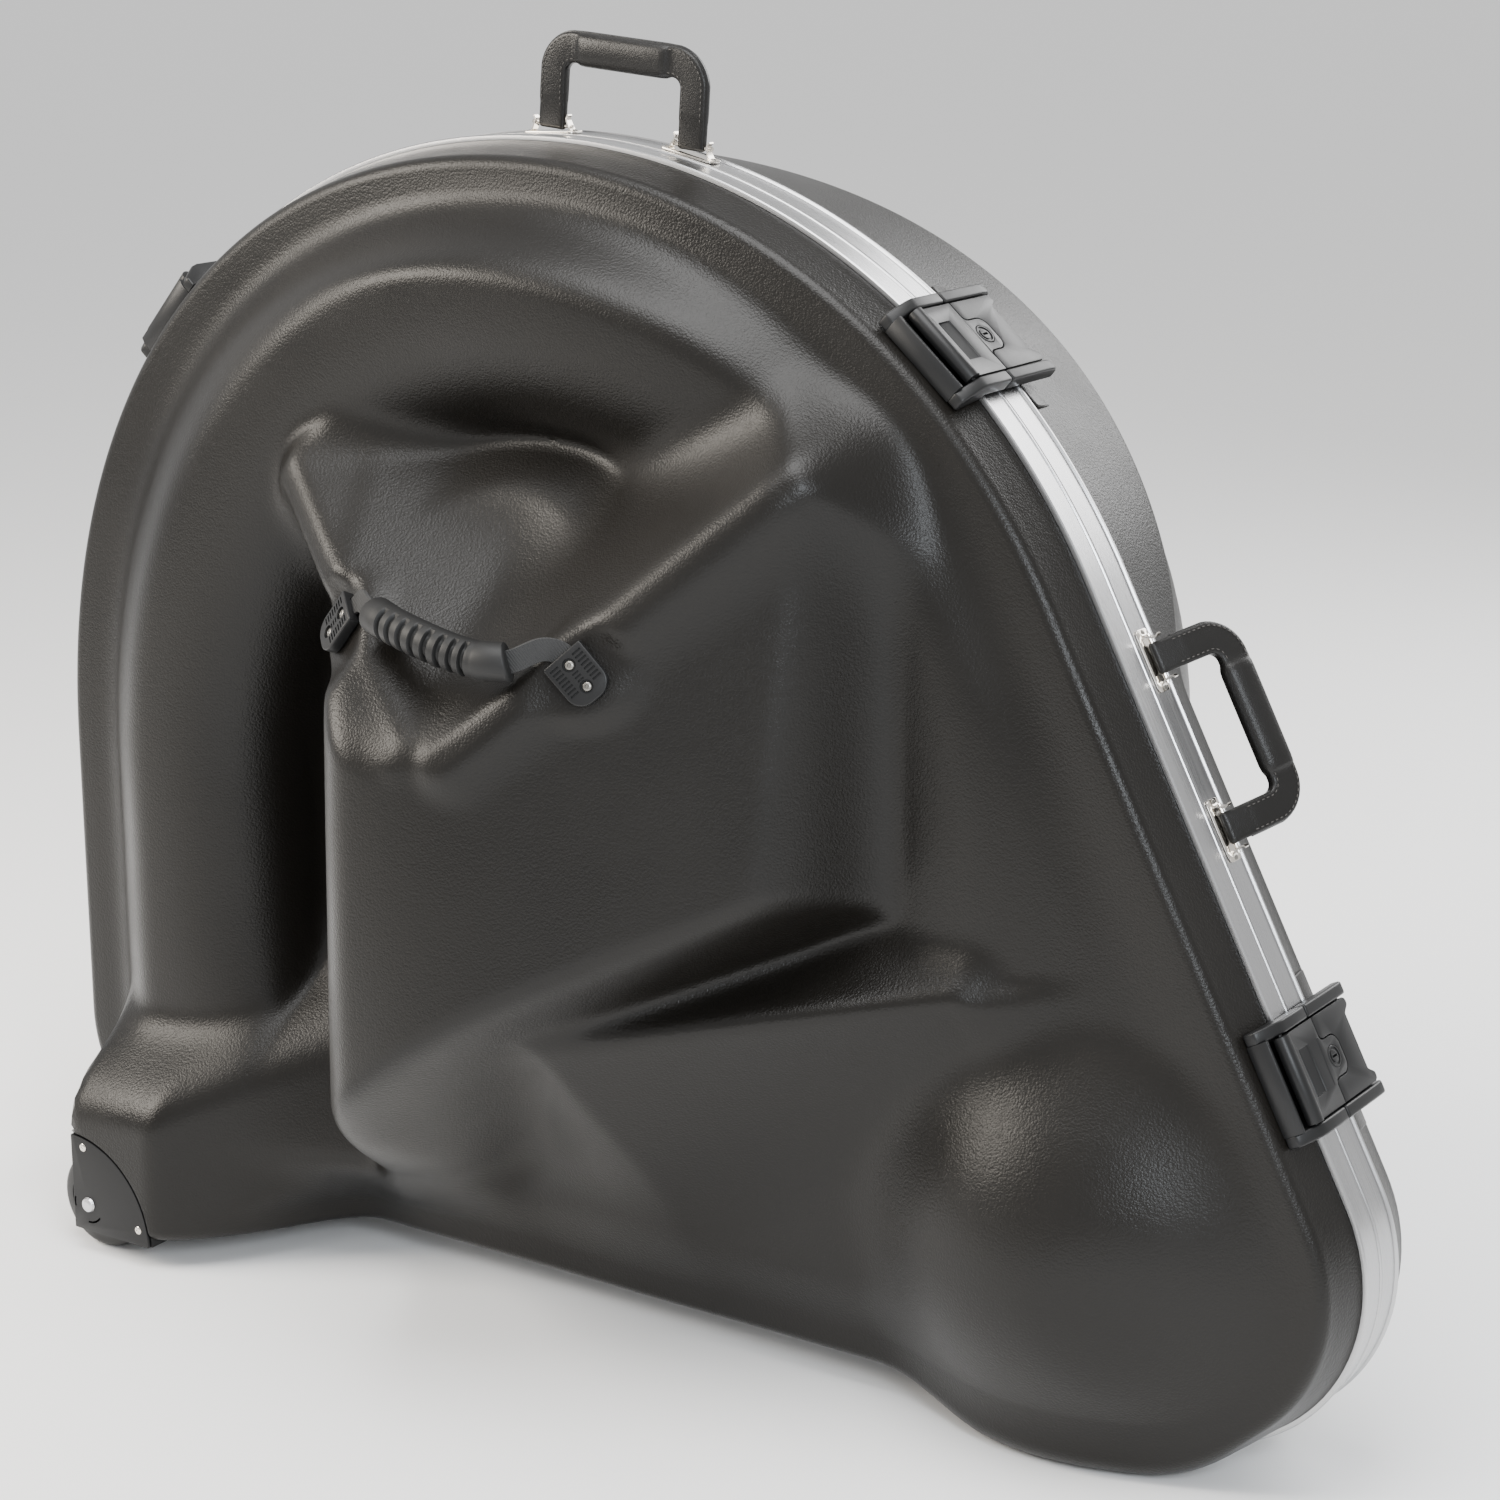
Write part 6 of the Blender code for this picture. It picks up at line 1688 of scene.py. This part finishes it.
    def build(self) -> None:
        """Builds the caps, the grip and the webbing."""
        _, left, right = self.path()
        self.cap("left", left)
        self.cap("right", right)
        bm = bmesh.new()
        sections = []
        for t, radius, cut in self.grip_rows():
            here, wide, thick = self.at(t)
            ring = []
            for i in range(40):
                a = 2.0 * math.pi * i / 40
                out = thick * math.cos(a) + wide * math.sin(a)
                ring.append(here + out * (radius - cut * self.groove_share(a)))
            sections.append(ring)
        swept(bm, sections)
        grip = make("flex_grip_rubber", bm, RUBBER)
        bore = bmesh.new()
        swept(bore, self.webbing_sections(2 * FIT, 37))
        cut_away(grip, [make("grip_bore", bore, RUBBER)])
        grip.data.set_sharp_from_angle(angle=math.radians(42.0))
        fit_piece(grip, "lid", RUBBER, "flex_grip")
        strap = bmesh.new()
        swept(strap, self.webbing_sections(0.0, 73))
        fit_piece(make("flex_webbing_strap", strap, WEBBING), "lid", WEBBING, "flex_webbing")

    def webbing_sections(self, grown: float, count: int) -> list[list[Vector]]:
        """Flat sections of the webbing along its path."""
        sections = []
        for i in range(count):
            here, wide, thick = self.at(i / (count - 1))
            w, t = self.webbing_width / 2 + grown, self.webbing_thickness / 2 + grown
            sections.append([here + wide * u + thick * v for u, v in
                             ((w, t * 0.4), (w - 0.0005, t), (-w + 0.0005, t), (-w, t * 0.4),
                              (-w, -t * 0.4), (-w + 0.0005, -t), (w - 0.0005, -t), (w, -t * 0.4))])
        return sections


# Corner wheels

@dataclass
class CornerWheel:
    """Wheel in a foot's corner, with its cover plate and screws."""

    half: Half
    centre: Point2 = (-0.452, 0.040)
    radius: float = 0.040
    width: float = 0.024
    plane: float = 0.172
    core_radius: float = 0.027
    corner: Point2 = (-0.468, 0.018)
    well_radius: float = 0.0790
    foot_depth: float = 0.195
    cover_thickness: float = 0.0030
    axle_radius: float = 0.0040
    head_radius: float = 0.0050
    head_height: float = 0.0024

    def facing(self, x: float, z: float, depth: float) -> Matrix:
        """Matrix at a depth from the seam with Z pointing away from it."""
        turn = Matrix.Rotation(-self.half.value * math.pi / 2, 4, "X")
        return Matrix.Translation((x, self.half.value * depth, z)) @ turn

    def place(self) -> Matrix:
        """Wheel frame: Z along the axle."""
        return self.facing(*self.centre, self.plane)

    def face(self, x: float, z: float, lift: float = 0.0) -> Matrix:
        """Place on the cover plate's outer face."""
        return self.facing(x, z, self.foot_depth + lift)

    def build(self) -> None:
        """Builds the tyre, the cover plate, its screws and the axle's polished head."""
        place = self.place()
        half, r = self.width / 2, self.radius
        bm = bmesh.new()
        turned(bm, [(self.core_radius, -half + 0.002), (self.core_radius + 0.001, -half + 0.0006),
                    (r - 0.012, -half), (r - 0.0060, -half + 0.0006), (r - 0.0030, -half + 0.0024),
                    (r - 0.0009, -half + 0.0060), (r, -0.0030), (r, 0.0030), (r - 0.0009, half - 0.0060),
                    (r - 0.0030, half - 0.0024), (r - 0.0060, half - 0.0006), (r - 0.012, half),
                    (self.core_radius + 0.001, half - 0.0006), (self.core_radius, half - 0.002)],
               72, place, True)
        tyre = make(self.half.word + "_tyre_tread", bm, URETHANE)
        fit_piece(tyre, self.half.word + "_wheel", URETHANE, self.half.word + "_tyre")
        self.cover()
        head = bmesh.new()
        profile = [(self.axle_radius, 0.0), (self.head_radius, 0.0),
                   (self.head_radius, self.head_height * 0.25)]
        for i in range(1, 8):
            a = 0.5 * math.pi * i / 7
            profile.append((self.head_radius * math.cos(a), self.head_height * (0.25 + 0.75 * math.sin(a))))
        turned(head, profile, 40, self.face(*self.centre, FIT))
        fit_piece(make(self.half.word + "_axle_head", head, NICKEL), self.half.body, NICKEL)

    def cover(self) -> None:
        """Quarter-round cover plate with two screws and the crescent openings round the axle."""
        sign = self.half.value
        radius = self.well_radius - 0.0016
        outline = [(self.corner[0], self.corner[1])]
        for i in range(33):
            a = 0.5 * math.pi * i / 32
            outline.append((self.corner[0] + radius * math.cos(a), self.corner[1] + radius * math.sin(a)))
        bm = bmesh.new()
        inner = sign * (self.foot_depth - self.cover_thickness)
        extruded(bm, [(x, inner, z) for x, z in outline], (0.0, sign * self.cover_thickness, 0.0))
        rounded(bm, 0.0007, 2)
        plate = make("cover_plate", bm, NYLON)
        cutters = []
        hole = bmesh.new()
        disc(hole, self.axle_radius + FIT, -0.1, 0.1, 24, self.place())
        cutters.append(make("axle_hole", hole, NYLON))
        slots = bmesh.new()
        for middle, spread in ((-1.15, 0.50), (math.pi, 0.28)):
            arc = [middle + spread * (i / 6 - 1.0) for i in range(13)]
            bow = [(0.0152, a) for a in arc] + [(0.0136, a) for a in reversed(arc)]
            extruded(slots, [(r * math.cos(a), r * math.sin(a), -0.1) for r, a in bow], (0.0, 0.0, 0.2))
        cutters.append(make("axle_slots", slots, NYLON, self.place()))
        cut_away(plate, cutters)
        plate.name = self.half.word + "_cover_plate"
        plate.data.set_sharp_from_angle(angle=math.radians(38.0))
        fit_piece(plate, self.half.body, NYLON, self.half.word + "_wheel_cover")
        spots = [(self.corner[0] + 0.0130, self.corner[1] + radius - 0.0085),
                 (self.corner[0] + radius - 0.0095, self.corner[1] + 0.0130)]
        rivets(self.half.word + "_cover_screws", [self.face(x, z) for x, z in spots], 0.0032, 0.0011, NICKEL,
               self.half.body, True)


# Small pieces

def wall_rivets() -> None:
    """Two rivet heads on the left wall of the front shell."""
    places = []
    for z in (0.303, 0.233):
        turn = Matrix.Rotation(-math.pi / 2, 4, "Y")
        places.append(Matrix.Translation((OUTLINE.left_x + 0.0052, -0.046, z)) @ turn)
    rivets("left_wall_rivets", places, 0.0050, 0.0022, NICKEL, "lid", False)


def cradles() -> None:
    """Plush blocks on the floor of the back half."""
    for letter in "abc":
        node = "foam_cradle_" + letter
        low, high = (Vector(c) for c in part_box(node))
        bm = bmesh.new()
        middle_x = (low.x + high.x) / 2
        notch = 0.036
        outline = [(low.x, high.y), (low.x, low.y)]
        for i in range(17):
            a = math.pi - math.pi * i / 16
            outline.append((middle_x + notch * math.cos(a), low.y + notch * math.sin(a)))
        outline += [(high.x, low.y), (high.x, high.y)]
        extruded(bm, [(x, y, low.z) for x, y in outline], (0.0, 0.0, high.z - low.z))
        rounded(bm, 0.0040, 3, 50.0)
        piece = make("plush_cradle_" + letter, bm, PLUSH, shifted=False)
        fit_piece(piece, "back_half", PLUSH, node)


def hinge_rivets() -> None:
    """Rows of rivets along both hinge leaves, seen from below."""
    for half in Half:
        places = []
        turn = Matrix.Rotation(math.pi, 4, "X")
        z = OUTLINE.base_z - 0.0020 - FIT - 0.0012
        for i in range(12):
            x = HINGE_START_X + 0.022 + i * (HINGE_END_X - HINGE_START_X - 0.044) / 11
            places.append(Matrix.Translation((x, half.value * 0.0140, z)) @ turn)
        rivets(half.word + "_hinge_rivets", places, 0.0020, 0.0007, STEEL, half.body, False)


CAD_FINISHES = {finish.slot: finish for finish in (ABS, NYLON, ALUMINIUM, NICKEL, STEEL, LEATHERETTE, RUBBER,
                                                   URETHANE, PLUSH)}


def dress_cad_nodes() -> None:
    """Gives every CAD node that stays in view the finish of its material slot; latch pins are blacked."""
    slots = {part["node"]: part["material_slot"] for part in frame["record"]["subparts"]}
    for name, thing in frame["nodes"].items():
        paint = PAINTS.material(NYLON if name.endswith("_latch_pin") else CAD_FINISHES[slots[name]])
        if thing.material_slots:
            for material_slot in thing.material_slots:
                material_slot.link = "OBJECT"
                material_slot.material = paint
        else:
            thing.data.materials.append(paint)


@dataclass
class Studio:
    """Pale floor, soft lights and the camera at the photograph's angle."""

    azimuth: float = 34.0
    elevation: float = 15.4
    distance: float = 2.4286
    target: tuple[float, float, float] = (0.036, 0.0, 0.4370)
    lens: float = 81.6

    def build(self) -> None:
        """Sets up the floor, the lights, the world and the camera."""
        self.floor()
        self.light("left_softbox", (-1.9, -1.5, 1.7), 1.3, 92.0, (1.0, 0.93, 0.83))
        self.light("right_softbox", (2.0, -1.5, 1.5), 0.9, 46.0, (0.88, 0.94, 1.0))
        self.light("top_softbox", (0.2, -0.5, 2.5), 1.5, 66.0, (1.0, 1.0, 1.0))
        self.light("back_softbox", (0.6, 2.2, 1.8), 1.5, 50.0, (1.0, 1.0, 1.0))
        world = bpy.data.worlds.new("studio")
        world.use_nodes = True
        world.node_tree.nodes["Background"].inputs["Color"].default_value = (1.0, 1.0, 1.0, 1.0)
        world.node_tree.nodes["Background"].inputs["Strength"].default_value = 0.95
        bpy.context.scene.world = world
        self.camera()

    def floor(self) -> None:
        """Large pale floor."""
        bm = bmesh.new()
        bmesh.ops.create_grid(bm, x_segments=1, y_segments=1, size=80.0)
        bmesh.ops.translate(bm, verts=bm.verts, vec=(0.0, 0.0, -0.0005))
        mesh = bpy.data.meshes.new("studio_floor")
        bm.to_mesh(mesh)
        bm.free()
        paint = bpy.data.materials.new("pale_floor")
        paint.use_nodes = True
        shader = paint.node_tree.nodes["Principled BSDF"]
        shader.inputs["Base Color"].default_value = (0.93, 0.93, 0.93, 1.0)
        shader.inputs["Roughness"].default_value = 0.9
        mesh.materials.append(paint)
        floor = bpy.data.objects.new("studio_floor", mesh)
        bpy.context.collection.objects.link(floor)

    def light(self, name: str, place: Sequence[float], size: float, power: float,
              colour: Sequence[float]) -> None:
        """Square soft light aimed at the middle of the case."""
        lamp = bpy.data.lights.new(name, "AREA")
        lamp.size = size
        lamp.energy = power
        lamp.color = colour
        made = bpy.data.objects.new(name, lamp)
        bpy.context.collection.objects.link(made)
        made.location = Vector(place) + SHIFT
        aim = Vector((0.0, -0.1, 0.42)) - Vector(place)
        made.rotation_euler = aim.to_track_quat("-Z", "Y").to_euler()

    def camera(self) -> None:
        """Camera fitted to the photograph."""
        a, e = math.radians(self.azimuth), math.radians(self.elevation)
        away = Vector((math.sin(a) * math.cos(e), -math.cos(a) * math.cos(e), math.sin(e)))
        lens = bpy.data.cameras.new("photo_camera")
        lens.lens = self.lens
        lens.sensor_width = 36.0
        made = bpy.data.objects.new("photo_camera", lens)
        bpy.context.collection.objects.link(made)
        made.location = Vector(self.target) + SHIFT + away * self.distance
        made.rotation_euler = (math.pi / 2 - e, 0.0, a)
        bpy.context.scene.camera = made


def carry_handles() -> None:
    """Builds the top and the side handle at their brackets."""
    half = PIN_SPAN / 2
    top_rise = PIN_RISE - (half - STRAP_WIDTH / 2) ** 2 / (2.0 * OUTLINE.crown_radius)
    angle = math.radians(85.5)
    swing = math.atan(half / (OUTLINE.crown_radius + top_rise))
    CarryHandle("top", OUTLINE.crown_point(angle), top_rise, 0.0,
                (OUTLINE.crown_point(angle + swing), OUTLINE.crown_point(angle - swing))).build()
    middle = 0.120
    CarryHandle("side", OUTLINE.slant_point(middle), PIN_RISE, math.radians(65.0),
                (OUTLINE.slant_point(middle - half), OUTLINE.slant_point(middle + half))).build()


def main() -> None:
    """Builds every piece of the case and the studio."""
    logging.basicConfig(level=logging.INFO)
    dress_cad_nodes()
    front = FrontForm()
    Shell(Half.FRONT, front).build()
    Shell(Half.BACK, BackForm()).build()
    for half in Half:
        Valance(half).build()
        CornerWheel(half).build()
    for prefix, seat in (("upper_right_latch", OUTLINE.crown_point(math.radians(48.7))),
                         ("lower_right_latch", OUTLINE.slant_point(0.345)),
                         ("upper_left_latch", OUTLINE.brow_point(math.radians(137.0)))):
        Latch(prefix, seat).build()
    carry_handles()
    FlexHandle(front.seats).build()
    wall_rivets()
    cradles()
    hinge_rivets()
    Studio().build()


if __name__ == "__main__":
    main()
